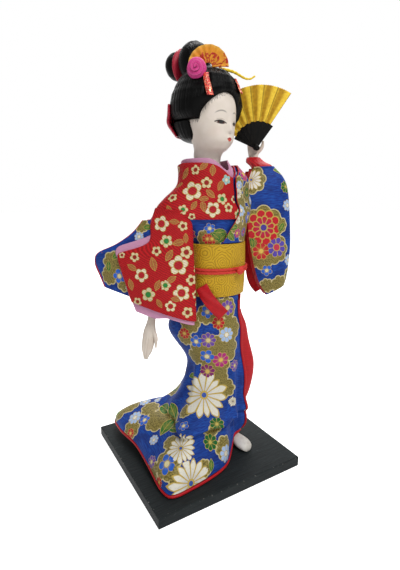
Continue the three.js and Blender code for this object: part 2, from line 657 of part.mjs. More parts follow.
// Obi, its cord and knot, and the folded bow at the back
const obiInner = layer(2);
const obiOuter = obiInner + OBI_CLOTH;
add(figure, 'obi', cloth(bodyPoint, bodyTurns, [OBI_BOTTOM, OBI_CORD_HEIGHT, OBI_TOP],
  obiOuter, obiInner, true), GOLD_BROCADE);
const CORD_HALF_HEIGHT = 2;
const CORD_THICKNESS = 1.5;
const cordInner = obiOuter + CLEAR;
const cordRows = [-1, 0, 1].map((share) => OBI_CORD_HEIGHT + share * CORD_HALF_HEIGHT);
add(figure, 'obi_cord', cloth(bodyPoint, bodyTurns, cordRows,
  cordInner + CORD_THICKNESS, cordInner, true), RED_SATIN);
const cordOuter = cordInner + CORD_THICKNESS;
const knotFront = bodyPoint(270, OBI_CORD_HEIGHT, cordOuter + CLEAR).y;
const KNOT_RADIUS = 3;
const knot = new THREE.SphereGeometry(KNOT_RADIUS, 12, 8).scale(1.2, 0.6, 1);
add(figure, 'obi_knot', knot.translate(0, knotFront - 0.6 * KNOT_RADIUS, OBI_CORD_HEIGHT), RED_SATIN);

const BOW_WIDTH = 34;
const BOW_DEPTH = 11;
const BOW_BOTTOM = OBI_BOTTOM + 4;
const BOW_TOP = OBI_TOP + 1;
const bowBack = bodyPoint(90, OBI_CORD_HEIGHT, cordOuter + CLEAR).y;
const bowOutline = new THREE.Shape();
const bowCorner = BOW_DEPTH / 2;
bowOutline.moveTo(0, BOW_BOTTOM);
bowOutline.absarc(bowCorner, BOW_BOTTOM + bowCorner, bowCorner, -Math.PI / 2, 0, false);
bowOutline.absarc(bowCorner, BOW_TOP - bowCorner, bowCorner, 0, Math.PI, false);
bowOutline.lineTo(0, BOW_BOTTOM);
const bow = new THREE.ExtrudeGeometry(bowOutline, {
  depth: BOW_WIDTH, bevelEnabled: false, curveSegments: 6,
}).rotateX(Math.PI / 2).rotateZ(Math.PI / 2).translate(-BOW_WIDTH / 2, bowBack, 0);
add(figure, 'obi_bow', bow, GOLD_BROCADE);

// Short red sash end that leaves the obi at the right hip and falls forward
const SASH_WIDTH = 9;
const SASH_FROM = 197;
const SASH_TO = 237;
const SASH_DROP = 19;
const sashPath = new THREE.CatmullRomCurve3([0, 1 / 3, 2 / 3, 1].map((share) => {
  const off = obiOuter + 2 * CLEAR + share * (HIP_HALF_DEPTH - WAIST_HALF_DEPTH);
  return bodyPoint(mix(SASH_FROM, SASH_TO, share), OBI_BOTTOM + 8 - share * SASH_DROP, off);
}));
const sashPoint = (across, along, offset) => {
  const middle = sashPath.getPointAt(along);
  const out = vec(-0.75, -0.66, 0);
  const width = sashPath.getTangentAt(along).cross(out).normalize();
  return middle.addScaledVector(width, (across - 0.5) * SASH_WIDTH).addScaledVector(out, offset);
};
add(figure, 'sash_end', cloth(sashPoint, [0, 0.5, 1], gridLines(0, 1, 1 / 6), CLOTH, 0), RED_SATIN);

// Hanging sleeves: folded sheets. An outline is given in the sleeve's own plane, as distance from
// the plane's origin and height; the cloth turns round its folded edge and is open at the other.
// A column is the share of the angle to the open edge, negative on the far side; a row is the share
// of the way down. The layers of one sleeve are insets of the same surface, which run on past the
// outline where more of them shows.
const OPEN_ANGLE = 112;
const FOLD_COLUMNS = 16;
const SLEEVE_ROWS = 12;
const openShare = (turn) => (1 - Math.cos(rad(turn))) / (1 - Math.cos(rad(OPEN_ANGLE)));
function sleevePoint(sleeve, turn, row, inset) {
  const fold = between(sleeve.fold, row);
  const edge = between(sleeve.edge, row);
  const share = openShare(turn);
  const reach = mix(fold.e, edge.e, share) + inset * Math.sign(edge.e - fold.e);
  const depth = sleeve.middle(row) + (SLEEVE_HALF_DEPTH - inset) * Math.sin(rad(turn));
  return sleeve.origin.clone()
    .addScaledVector(sleeve.along, reach)
    .addScaledVector(sleeve.out, depth)
    .setZ(mix(fold.z, edge.z, share));
}
// The angle at which the cloth has gone a given share of the way from the fold to the open edge
const openAngle = (share) =>
  THREE.MathUtils.radToDeg(Math.acos(1 - share * (1 - Math.cos(rad(OPEN_ANGLE)))));
function sleeveCloth(sleeve, { top, bottom, near, far, inset, wall }) {
  const at = (column, row, offset) =>
    sleevePoint(sleeve, column * openAngle(column > 0 ? near(row) : far(row)), row, offset);
  const columns = gridLines(-1, 1, 2 / FOLD_COLUMNS);
  return cloth(at, columns, gridLines(top, bottom, 1 / SLEEVE_ROWS), inset, inset + wall);
}
const outline = (list) => list.map(([e, down]) => ({ e, z: FORM_TOP - down }));

const rightSleeve = {
  origin: vec(rightX, -6, 0),
  along: vec(-0.52, 0.854, 0),
  out: vec(-0.854, -0.52, 0),
  middle: (row) => 4 * smooth(row, 0.4, 0.9) - 6 * (1 - smooth(row, 0, 0.36)),
  fold: outline([[4, 17.5], [1.5, 35.5], [0, 54.5], [-1.2, 73.5], [-2.2, 92.5], [-2.5, 102.5]]),
  edge: outline([
    [27, 15.5], [38, 29.5], [47, 40], [52, 48], [49.5, 58], [46, 68], [43, 77], [40, 84], [37, 91.5],
  ]),
};
const pinkLayer = CLOTH + CLEAR;
const blueLayer = pinkLayer + LINING + 2 * CLEAR;
// The near edge of the red sheet and its lining hangs as a narrow panel, then steps out to the full
// width; the blue sheet inside reaches furthest.
const redNear = (row) => mix(0.92, 0.64, smooth(row, 0, 0.22)) + 0.36 * smooth(row, 0.22, 0.37);
const pinkNear = (row) =>
  mix(0.92, 0.62, smooth(row, 0, 0.15)) + 0.43 * smooth(row, 0.15, 0.29) - 0.08 * smooth(row, 0.3, 0.45);
const blueOpen = (row) => 1 + 0.42 * smooth(row, 0.12, 0.55);
const toEdge = () => 1;
const robeLevels = [OBI_TOP + 1, ...bodyLevels.slice(3), FORM_TOP + 4, FORM_TOP + 9, COLLAR_HEIGHT];
const robeRoom = bodySolid(robeLevels, layer(1) + CLOTH + CLEAR);
const redSheet = { top: 0, bottom: 0.8, near: redNear, far: toEdge, inset: 0, wall: CLOTH };
const pinkSheet = {
  top: 0.04, bottom: 0.84, near: pinkNear, far: toEdge, inset: pinkLayer, wall: LINING,
};
const blueSheet = {
  top: 0.08, bottom: 0.74, near: blueOpen, far: blueOpen, inset: blueLayer, wall: CLOTH,
};
const rightSheet = (sheet) => cut(sleeveCloth(rightSleeve, sheet), robeRoom, rightRoom);
add(figure, 'right_sleeve', rightSheet(redSheet), RED_CREPE);
add(figure, 'right_sleeve_lining', rightSheet(pinkSheet), PINK_SILK);
add(figure, 'right_inner_sleeve', rightSheet(blueSheet), BLUE_BROCADE);

const leftSleeve = {
  origin: vec(0, 0, 0),
  along: vec(Math.SQRT1_2, -Math.SQRT1_2, 0),
  out: vec(-Math.SQRT1_2, -Math.SQRT1_2, 0),
  middle: (row) => mix(-20, -15, row) - 5 * (1 - smooth(row, 0, 0.3)),
  fold: outline([[44, -14.5], [53.5, 0.5], [57.5, 39.5], [56.5, 64.5], [54, 75.5]]),
  edge: outline([[27, -13.5], [22, 4.5], [24.5, 39.5], [31.5, 69.5], [39, 82.5]]),
};
const lapelRoom = bodySolid(robeLevels, layer(2) + CLOTH + 6 * CLEAR);
const liningFar = (row) => 1.06 + 0.22 * smooth(row, 0.5, 0.95);
const leftSheet = { top: 0, bottom: 1, near: toEdge, far: toEdge, inset: 0, wall: CLOTH };
const leftLiningSheet = {
  top: 0.05, bottom: 0.97, near: toEdge, far: liningFar, inset: pinkLayer, wall: LINING,
};
add(figure, 'left_sleeve', cut(sleeveCloth(leftSleeve, leftSheet), lapelRoom, leftRoom), BLUE_BROCADE);
add(figure, 'left_sleeve_lining', cut(sleeveCloth(leftSleeve, leftLiningSheet), lapelRoom, leftRoom),
  RED_SATIN);

// Red cuff round the left wrist
const cuffStations = [
  { z: FORM_TOP + 15.1, x: 44.3, y: -4.7, a: 9, b: 8 },
  { z: FORM_TOP + 18.5, x: 45.2, y: 1.6, a: 7.4, b: 7 },
  { z: FORM_TOP + 22.1, x: 46, y: 4.6, a: 5.4, b: 5.2 },
];
const cuffRoom = cuffStations.map((s) => ({ ...s, a: s.a - LINING, b: s.b - LINING }));
add(figure, 'left_cuff', cut(rounded(cuffStations, 3, 14), rounded(cuffRoom, 3, 14, 0.01), leftRoom),
  RED_SATIN);

// Hands
const handSide = vec(-0.6, 0.8, 0);
const rightTip = drop(rightX - 22.3, 22.6, 124);
const handSizes = [
  { a: 2.7, b: 2.7 }, { a: 2.9, b: 2.5 }, { a: 4.3, b: 2.4 },
  { a: 4.4, b: 2.1 }, { a: 3.8, b: 1.9 }, { a: 1.6, b: 1 },
];
const rightPalm = rod([
  rightWrist.clone().lerp(rightTip, -0.02), rightWrist.clone().lerp(rightTip, 0.35), rightTip,
], handSizes, handSide, 8, 12);
const rightThumb = rod([
  drop(rightX - 18.7, 18.6, 100.5), drop(rightX - 17.9, 15.8, 106.5), drop(rightX - 18.3, 15.2, 114.5),
], [{ a: 1.6, b: 1.6 }, { a: 1.5, b: 1.5 }, { a: 0.7, b: 0.7 }], handSide, 5, 7);
add(figure, 'right_hand', cut(join(rightPalm, rightThumb), rightWireRoom), PORCELAIN);

// Fan: sticks and pleated leaf panels stacked on one rivet, the first stick nearest the viewer
const fanPivot = drop(41.2, -1.6, -29.8);
const fan = new THREE.Group();
fan.position.copy(fanPivot);
fan.rotation.set(Math.PI / 2, 0, rad(-55), 'ZXY');
figure.add(fan);
const stickAngle = (i) => rad(FAN_FIRST_ANGLE + (FAN_SPREAD * i) / (FAN_STICKS - 1));
const STICK_FOOT = 3;
const STICK_NARROW = 1.5;
// Open, neighbouring sticks just meet where the leaf begins
const STICK_WIDE = FAN_STICK_LENGTH * Math.tan(rad(FAN_SPREAD) / (FAN_STICKS - 1) / 2);
const stickOutline = new THREE.Shape();
stickOutline.moveTo(FAN_STICK_LENGTH - CLEAR, -STICK_WIDE);
stickOutline.lineTo(FAN_STICK_LENGTH - CLEAR, STICK_WIDE);
stickOutline.lineTo(0, STICK_NARROW);
stickOutline.absarc(-STICK_FOOT + STICK_NARROW, 0, STICK_NARROW, Math.PI / 2, 1.5 * Math.PI, false);
stickOutline.lineTo(0, -STICK_NARROW);
stickOutline.holes.push(new THREE.Path().absarc(0, 0, RIVET_RADIUS + CLEAR, 0, 2 * Math.PI, true));
const leafPoint = (across, along, offset) => {
  const turn = (rad(FAN_SPREAD) / (FAN_STICKS - 1)) * mix(0.02, 0.98, across);
  const reach = mix(FAN_STICK_LENGTH, FAN_RADIUS, along);
  const ridge = FAN_PLEAT * (0.5 - Math.abs(2 * across - 1));
  return vec(reach * Math.cos(turn), reach * Math.sin(turn), ridge + offset);
};
for (let i = 0; i < FAN_STICKS; i += 1) {
  const level = -i * FAN_PITCH;
  const stick = new THREE.ExtrudeGeometry(stickOutline, {
    depth: FAN_BLADE, bevelEnabled: false, curveSegments: 4,
  }).translate(0, 0, -FAN_BLADE / 2).rotateZ(stickAngle(i)).translate(0, 0, level);
  add(fan, `fan_stick_${i + 1}`, stick, BLACK_LACQUER);
  if (i + 1 < FAN_STICKS) {
    const leaf = cloth(leafPoint, [0, 0.5, 1], [0, 1], FAN_BLADE / 2, -FAN_BLADE / 2);
    add(fan, `fan_leaf_${i + 1}`, leaf.rotateZ(stickAngle(i)).translate(0, 0, level), GOLD_PAPER);
  }
}
const fanFront = FAN_BLADE / 2 + CLEAR;
const fanBack = -(FAN_STICKS - 1) * FAN_PITCH - FAN_BLADE / 2 - CLEAR;
const RIVET_HEAD = 0.8;
const rivetProfile = [
  [0, fanBack - RIVET_HEAD], [2 * RIVET_RADIUS, fanBack - RIVET_HEAD], [2 * RIVET_RADIUS, fanBack],
  [RIVET_RADIUS, fanBack], [RIVET_RADIUS, fanFront], [2 * RIVET_RADIUS, fanFront],
  [2 * RIVET_RADIUS, fanFront + RIVET_HEAD / 2], [RIVET_RADIUS, fanFront + RIVET_HEAD],
  [0, fanFront + RIVET_HEAD],
].map(([r, z]) => new THREE.Vector2(r, z));
const rivet = new THREE.LatheGeometry(rivetProfile, 12).rotateX(Math.PI / 2);
add(fan, 'fan_rivet', rivet, STEEL);

// Left hand behind the rivet, in the fan's frame: palm, bent fingers and thumb
const palmFront = fanBack - RIVET_HEAD - CLEAR;
const palmDepth = palmFront - 2.4;
const leftPalm = rod([
  vec(-2.2, -11, palmDepth + 3), vec(-2.4, -3, palmDepth), vec(-3.4, 5, palmDepth),
  vec(-4, 11, palmDepth - 0.5),
], [{ a: 2.7, b: 2.7 }, { a: 4.2, b: 2.3 }, { a: 4.2, b: 2 }, { a: 2.2, b: 1 }], vec(1, 0, 0), 8, 12);
const leftThumb = rod([
  vec(0.6, -4, palmDepth), vec(4.2, 0.5, palmDepth - 0.4), vec(5, 5, palmDepth - 0.4),
], [{ a: 1.6, b: 1.6 }, { a: 1.5, b: 1.5 }, { a: 0.8, b: 0.8 }], vec(0, 0, 1), 5, 7);
const fanToFigure = new THREE.Matrix4().compose(
  fan.position, new THREE.Quaternion().setFromEuler(fan.rotation), vec(1, 1, 1));
const leftHand = join(leftPalm, leftThumb).applyMatrix4(fanToFigure);
add(figure, 'left_hand', cut(leftHand, leftWireRoom, leftRoom), PORCELAIN);

// Head with its neck, turning on the peg. Heights on the head are measured from the collar.
const headStations = [
  { z: FORM_TOP + 2 * CLEAR - COLLAR_HEIGHT, x: 0, y: 0, a: NECK_RADIUS, b: NECK_RADIUS },
  { z: -6, x: 0, y: 0, a: NECK_RADIUS, b: NECK_RADIUS },
  { z: 1, x: 0, y: 0, a: NECK_RADIUS, b: NECK_RADIUS + 0.2 },
  { z: 5, x: 0, y: -1, a: NECK_RADIUS + 0.2, b: NECK_RADIUS + 1.4 },
  { z: 7.5, x: 0, y: -3.5, a: HEAD_HALF_WIDTH - 7.8, b: HEAD_HALF_DEPTH - 7.8 },
  { z: 12, x: 0, y: -5, a: HEAD_HALF_WIDTH - 5.6, b: HEAD_HALF_DEPTH - 5.5 },
  { z: 18, x: 0, y: -2.5, a: HEAD_HALF_WIDTH - 2.6, b: HEAD_HALF_DEPTH - 2.8 },
  { z: 26, x: 0, y: 0, a: HEAD_HALF_WIDTH, b: HEAD_HALF_DEPTH },
  { z: 36, x: 0, y: 0, a: HEAD_HALF_WIDTH, b: HEAD_HALF_DEPTH - 0.5 },
  { z: 44, x: 0, y: 0, a: HEAD_HALF_WIDTH - 3, b: HEAD_HALF_DEPTH - 4 },
  { z: 50, x: 0, y: 0, a: HEAD_HALF_WIDTH - 9, b: HEAD_HALF_DEPTH - 10 },
  { z: 52, x: 0, y: 0, a: 1.5, b: 1.5 },
];
const HEAD_ROWS = 15;
const HEAD_SIDES = 18;
const headRoom = rounded(headStations, HEAD_ROWS, HEAD_SIDES, CLEAR);
const noseTip = -HEAD_HALF_DEPTH - 0.4;
const nose = rod([vec(0, noseTip + 1.8, 23), vec(0, noseTip, 18.4), vec(0, noseTip + 1.4, 17)],
  [{ a: 0.8, b: 0.7 }, { a: 1.7, b: 1.2 }, { a: 1, b: 0.6 }], vec(1, 0, 0), 5, 8);
const neckRoom = pegRoom.clone().translate(-HEAD_X, -HEAD_Y, -COLLAR_HEIGHT);
add(head, 'head', cut(join(rounded(headStations, HEAD_ROWS, HEAD_SIDES), nose), neckRoom), PORCELAIN);

// Hair: swept-up wig with an arched face opening, back hair, and a bun in two lobes
const wigStations = [
  { z: HAIR_BOTTOM, x: 0, y: 1, a: WIG_HALF_WIDTH - 1.6, b: WIG_HALF_DEPTH - 1.6 },
  { z: 30, x: 0, y: 0.5, a: WIG_HALF_WIDTH - 0.4, b: WIG_HALF_DEPTH - 0.3 },
  { z: 36, x: 0, y: 0, a: WIG_HALF_WIDTH, b: WIG_HALF_DEPTH },
  { z: 42, x: 0, y: 0.3, a: WIG_HALF_WIDTH - 1.5, b: WIG_HALF_DEPTH - 1 },
  { z: 47, x: 0, y: 0.5, a: WIG_HALF_WIDTH - 4, b: WIG_HALF_DEPTH - 3 },
  { z: 52, x: 0, y: 0.5, a: WIG_HALF_WIDTH - 7, b: WIG_HALF_DEPTH - 5 },
  { z: 56, x: 0, y: 0.5, a: WIG_HALF_WIDTH - 10.5, b: WIG_HALF_DEPTH - 8.5 },
  { z: 59.5, x: 0, y: 1, a: WIG_HALF_WIDTH - 17, b: WIG_HALF_DEPTH - 14.5 },
  { z: 61, x: 0, y: 1, a: 1.5, b: 1.5 },
];
const WIG_ROWS = 10;
const WIG_SIDES = 18;
const wigRoom = rounded(wigStations, WIG_ROWS, WIG_SIDES, CLEAR);
const FACE_HALF_WIDTH = HEAD_HALF_WIDTH + 4.6;
const FACE_ARCH = 17;
const faceOpening = new THREE.Shape();
faceOpening.moveTo(-FACE_HALF_WIDTH, HAIR_BOTTOM - 5);
faceOpening.lineTo(FACE_HALF_WIDTH, HAIR_BOTTOM - 5);
faceOpening.lineTo(FACE_HALF_WIDTH, HAIR_BOTTOM);
faceOpening.absellipse(0, HAIR_BOTTOM, FACE_HALF_WIDTH, FACE_ARCH, 0, Math.PI, false);
faceOpening.lineTo(-FACE_HALF_WIDTH, HAIR_BOTTOM - 5);
const TEMPLE = -8;
const faceCut = new THREE.ExtrudeGeometry(faceOpening, {
  depth: 2 * WIG_HALF_DEPTH, bevelEnabled: false, curveSegments: 12,
}).rotateX(Math.PI / 2).translate(0, TEMPLE, 0);
add(head, 'wig', cut(rounded(wigStations, WIG_ROWS, WIG_SIDES), headRoom, faceCut), HAIR);

const backHairStations = [
  { z: HAIR_BOTTOM - 12.2, x: 0, y: 7, a: 9, b: 7.5 },
  { z: HAIR_BOTTOM - 10.5, x: 0, y: 6.5, a: 14.5, b: 12 },
  { z: HAIR_BOTTOM - 6, x: 0, y: 6, a: 18.5, b: 17 },
  { z: HAIR_BOTTOM - CLEAR, x: 0, y: WIG_HALF_DEPTH - 18, a: WIG_HALF_WIDTH - 5.5, b: 20 },
];
const EAR_LINE = -1;
const BACK_ROWS = 6;
const BACK_SIDES = 18;
const frontPlane = new THREE.BoxGeometry(4 * WIG_HALF_WIDTH, 4 * WIG_HALF_DEPTH, 40)
  .translate(0, EAR_LINE - 2 * WIG_HALF_DEPTH, HAIR_BOTTOM);
add(head, 'back_hair', cut(rounded(backHairStations, BACK_ROWS, BACK_SIDES), headRoom, frontPlane), HAIR);

const lobe = (a, b, c, y, z, grow) =>
  new THREE.SphereGeometry(1, 14, 10).scale(a + grow, b + grow, c + grow).translate(0, y, z);
const bunY = WIG_HALF_DEPTH - 11.5;
const bunFront = (grow) => lobe(BUN_RADIUS, BUN_RADIUS - 1.5, BUN_RADIUS + 1.5, bunY, 66.5, grow);
const ribbonDisc = (grow) => lobe(BUN_RADIUS - 1, 3.2, BUN_RADIUS, bunY + BUN_RADIUS - 1, 65.5, grow);
const bunBack = (grow) =>
  lobe(BUN_RADIUS - 2, BUN_RADIUS - 4, BUN_RADIUS - 2.5, bunY + BUN_RADIUS + 5.5, 67.5, grow);
add(head, 'bun_front', cut(bunFront(0), wigRoom), HAIR);
add(head, 'bun_ribbon', cut(ribbonDisc(0), bunFront(CLEAR), wigRoom), RED_SATIN);
add(head, 'bun_back', cut(bunBack(0), ribbonDisc(CLEAR), bunFront(CLEAR)), HAIR);

// Red nape ribbon round the back of the hair
const napeStations = [
  { z: HAIR_BOTTOM - 8.5, x: 0, y: 6.3, a: 17, b: 15.2 },
  { z: HAIR_BOTTOM - 4.5, x: 0, y: 6, a: 19.8, b: 18.4 },
  { z: HAIR_BOTTOM, x: 0, y: 4.5, a: WIG_HALF_WIDTH - 2.7, b: WIG_HALF_DEPTH - 2 },
  { z: 30, x: 0, y: 0.5, a: WIG_HALF_WIDTH - 0.2, b: WIG_HALF_DEPTH },
  { z: 36, x: 0, y: 0, a: WIG_HALF_WIDTH, b: WIG_HALF_DEPTH },
];
const napePoint = (across, along, offset) => {
  const s = between(napeStations, along);
  const t = rad(mix(62, 150, across));
  return vec(s.x + (s.a + offset) * Math.cos(t), s.y + (s.b + offset) * Math.sin(t), s.z);
};
const backHairRoom = rounded(backHairStations, BACK_ROWS, BACK_SIDES, CLEAR);
add(head, 'nape_ribbon', cut(
  cloth(napePoint, gridLines(0, 1, 1 / 8), gridLines(0, 1, 1 / 6), CLOTH + 3 * CLEAR, 2 * CLEAR),
  wigRoom, backHairRoom), RED_SATIN);

// Hair ornaments: fan-shaped card, rose, two ribbon tails and a gold hairpin
const cardOutline = new THREE.Shape();
cardOutline.moveTo(-CARD_RADIUS, 1);
cardOutline.lineTo(-3, -2.5);
cardOutline.lineTo(3, -2.5);
cardOutline.lineTo(CARD_RADIUS, 1);
cardOutline.absarc(0, 1, CARD_RADIUS, 0, Math.PI, false);
const CARD_TURN = rad(-45);
const CARD_X = -7.5;
const CARD_Y = -8;
const CARD_Z = 57;
const card = (grow) => new THREE.ExtrudeGeometry(cardOutline, {
  depth: CARD_THICKNESS + 2 * grow, bevelEnabled: false, curveSegments: 12,
}).translate(0, 0, -grow).scale(1 + grow / CARD_RADIUS, 1 + grow / CARD_RADIUS, 1)
  .rotateX(Math.PI / 2).rotateZ(CARD_TURN).translate(CARD_X, CARD_Y, CARD_Z);
add(head, 'ornament_card', cut(card(0), wigRoom, bunFront(CLEAR)), ORANGE_CARD);
const cardRoom = card(CLEAR);

const rose = (grow) => new THREE.SphereGeometry(1, 14, 8)
  .scale(ROSE_RADIUS + grow, ROSE_RADIUS * 0.8 + grow, ROSE_RADIUS + grow)
  .rotateZ(rad(-50)).translate(CARD_X - 10.7, CARD_Y + 0.2, CARD_Z - 2.4);
add(head, 'ornament_rose', cut(rose(0), wigRoom, cardRoom), ROSE_SATIN);

const TAIL_WIDTH = 4.4;
const tailPoint = (topTurn, lowTurn, top, bottom) => (across, along, offset) => {
  const z = mix(top, bottom, along);
  const s = atHeight(wigStations, z);
  const t = rad(mix(topTurn, lowTurn, along)) + ((across - 0.5) * TAIL_WIDTH) / WIG_HALF_WIDTH;
  return vec(s.x + (s.a + offset) * Math.cos(t), s.y + (s.b + offset) * Math.sin(t), z);
};
const tail = (...place) => cut(
  cloth(tailPoint(...place), [0, 0.5, 1], gridLines(0, 1, 1 / 6), CLOTH + 2 * CLEAR, CLEAR),
  wigRoom, rose(CLEAR), cardRoom);
add(head, 'right_ribbon_tail', tail(223, 231, CARD_Z - 5, CARD_Z - 19.5), RED_SATIN);
add(head, 'left_ribbon_tail', tail(300, 300, CARD_Z - 5, CARD_Z - 14), RED_SATIN);

const HAIRPIN_RADIUS = 0.8;
const hairpin = rod([
  vec(1, -9.5, CARD_Z + 1.4), vec(10, -14.4, CARD_Z + 0.2), vec(18.6, -18.4, CARD_Z - 3.1),
  vec(22, -20, CARD_Z - 2.8), vec(24.4, -21.8, CARD_Z - 1),
], round(HAIRPIN_RADIUS), vec(0, 0, 1), 12, 6);
add(head, 'gold_hairpin', cut(hairpin, wigRoom, cardRoom), GOLD_PAPER);

export default doll;
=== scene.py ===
# %% [markdown]
# # A display doll in layered kimono
#
# The CAD part gives the doll's bones: board, post, wires and a plain solid for every garment.
# This lesson dresses it. Each piece is a surface worked out with numpy from the same few sizes
# as the solid it stands for, only finer, and each finish is a small tree of shader nodes.

# %% Load the frame
import math

import bpy
import numpy as np
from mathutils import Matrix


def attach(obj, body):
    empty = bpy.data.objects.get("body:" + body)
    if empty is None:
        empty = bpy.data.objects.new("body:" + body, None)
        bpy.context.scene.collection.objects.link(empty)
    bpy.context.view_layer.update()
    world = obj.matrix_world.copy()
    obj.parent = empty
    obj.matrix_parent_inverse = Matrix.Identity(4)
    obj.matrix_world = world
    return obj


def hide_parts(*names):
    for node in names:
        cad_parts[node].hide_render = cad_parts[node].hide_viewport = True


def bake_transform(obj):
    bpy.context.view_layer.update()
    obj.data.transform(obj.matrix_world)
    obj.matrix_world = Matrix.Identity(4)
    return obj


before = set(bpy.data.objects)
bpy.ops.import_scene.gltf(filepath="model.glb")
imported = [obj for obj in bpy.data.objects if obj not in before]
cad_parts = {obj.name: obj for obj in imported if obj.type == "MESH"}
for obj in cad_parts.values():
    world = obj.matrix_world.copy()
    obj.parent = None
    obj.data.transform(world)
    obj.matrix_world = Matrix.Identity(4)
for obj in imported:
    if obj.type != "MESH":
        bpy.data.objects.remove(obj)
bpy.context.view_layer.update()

# %% [markdown]
# ## Where things are
#
# The doll was modelled in millimetres in its own frame: it faces -Y, stands at the origin and has
# its right hand towards -X. On the board it is turned a little. Head and fan have frames of their
# own, so that their shapes can be written about their own middles.

# %% Frames
MM = 0.001
STAND = np.array([19.6, -2.4, 8.0])
STAND_TURN = math.radians(14)
HEAD_AT = np.array([-4.0, 7.0, 216.0])
FAN_AT = np.array([41.2, -1.6, 229.3])
FAN_TURN = math.radians(-55)


def turned(points, angle):
    """Points turned about the z axis: x cos - y sin, x sin + y cos."""
    c, s = math.cos(angle), math.sin(angle)
    x, y, z = np.moveaxis(np.asarray(points, float), -1, 0)
    return np.stack([c * x - s * y, s * x + c * y, z], axis=-1)


def on_board(points):
    """The doll's millimetres as metres of the frame: turned about z, then set on its stand."""
    return MM * (turned(points, STAND_TURN) + STAND)


def on_head(points):
    """The head's own millimetres, measured from the collar, as metres of the frame."""
    return on_board(points + HEAD_AT)


def on_fan(points):
    """The fan's own millimetres as metres of the frame: its y stands up and z looks at the viewer."""
    x, y, z = np.moveaxis(np.asarray(points, float), -1, 0)
    return on_board(turned(np.stack([x, -z, y], axis=-1), FAN_TURN) + FAN_AT)


print("head at", on_head(np.zeros(3)), "fan at", on_fan(np.zeros(3)))

# %% [markdown]
# ## Curves and soft steps
#
# Cloth has no corners, so almost every shape here is a smooth curve through a few stations. The
# Catmull-Rom curve passes through each of them and needs no handles.

# %% Curves
def soft_step(x, low, high):
    """Rises from 0 at low to 1 at high along 3t^2 - 2t^3."""
    t = np.clip((np.asarray(x, float) - low) / (high - low), 0, 1)
    return t * t * (3 - 2 * t)


def between(a, b, share):
    """a + (b - a) * share."""
    return a + (b - a) * share


def bump_at(x, middle, spread):
    """A bell: exp(-((x - middle) / spread)^2)."""
    return np.exp(-(((x - middle) / spread) ** 2))


def apart(a, b):
    """The signed angle from b to a, in degrees from -180 to 180."""
    return (a - b + 180) % 360 - 180


def through(stations, share):
    """A Catmull-Rom curve through every row of stations, at shares from 0 to 1."""
    stations = np.asarray(stations, float)
    last = len(stations) - 1
    place = np.clip(share, 0, 1) * last
    first = np.minimum(place.astype(int), last - 1)
    t = (place - first)[..., None]
    p, a, b, q = (stations[np.clip(first + k, 0, last)] for k in (-1, 0, 1, 2))
    start, end, rise = (b - p) / 2, (q - a) / 2, b - a
    return a + t * (start + t * (3 * rise - 2 * start - end + t * (start + end - 2 * rise)))


def at_height(stations, z):
    """Station values at heights z, by the mean of a straight and a soft step between neighbours."""
    stations = np.asarray(stations, float)
    low = np.clip(np.searchsorted(stations[:, 0], z) - 1, 0, len(stations) - 2)
    under, over = stations[low], stations[low + 1]
    t = np.clip((z - under[..., 0]) / (over[..., 0] - under[..., 0]), 0, 1)[..., None]
    return under + (over - under) * (t + t * t * (3 - 2 * t)) / 2


def route(points, count, closed=False):
    """A smooth path through points, as count places evenly spaced along it.

    Each stretch is a cubic whose end slopes allow for the square root of the gaps between points.
    """
    points = np.asarray(points, float)
    ends = ((points[-1],), (points[0], points[1])) if closed else (
        (2 * points[0] - points[1],), (2 * points[-1] - points[-2],))
    p = np.concatenate([ends[0], points, ends[1]])
    gap = np.sqrt(np.linalg.norm(np.diff(p, axis=0), axis=1))[:, None]
    a, b, c, d = p[:-3], p[1:-2], p[2:-1], p[3:]
    g0, g1, g2 = gap[:-2], gap[1:-1], gap[2:]
    leave = ((b - a) / g0 - (c - a) / (g0 + g1) + (c - b) / g1) * g1
    arrive = ((c - b) / g1 - (d - b) / (g1 + g2) + (d - c) / g2) * g1
    t = np.linspace(0, 1, 24, endpoint=False)[None, :, None]
    b, c, leave, arrive = (v[:, None] for v in (b, c, leave, arrive))
    fine = b + t * (leave + t * (3 * (c - b) - 2 * leave - arrive + t * (leave + arrive - 2 * (c - b))))
    fine = np.concatenate([fine.reshape(-1, points.shape[1]), p[-2][None]])
    run = np.concatenate([[0], np.cumsum(np.linalg.norm(np.diff(fine, axis=0), axis=1))])
    at = np.linspace(0, run[-1], count, endpoint=not closed)
    return np.stack([np.interp(at, run, fine[:, k]) for k in range(points.shape[1])], axis=-1)


def wander(x, seed, knots, span=1.0, wraps=False):
    """A smooth random line from -1 to 1 over x in 0 to span, through seeded knots."""
    marks = np.random.default_rng(seed).uniform(-1, 1, knots)
    marks = np.append(marks, marks[0]) if wraps else marks
    return through(marks[:, None], np.clip(np.asarray(x, float) / span, 0, 1))[..., 0]

# %% [markdown]
# ## Meshes
#
# A panel of cloth is one closed body: a front, a lining a little way in, and rims that join them.
# Rows and columns of one grid make all three, so no seam is left open. A round body is a grid that
# closes on itself, with a fan of triangles over each end.

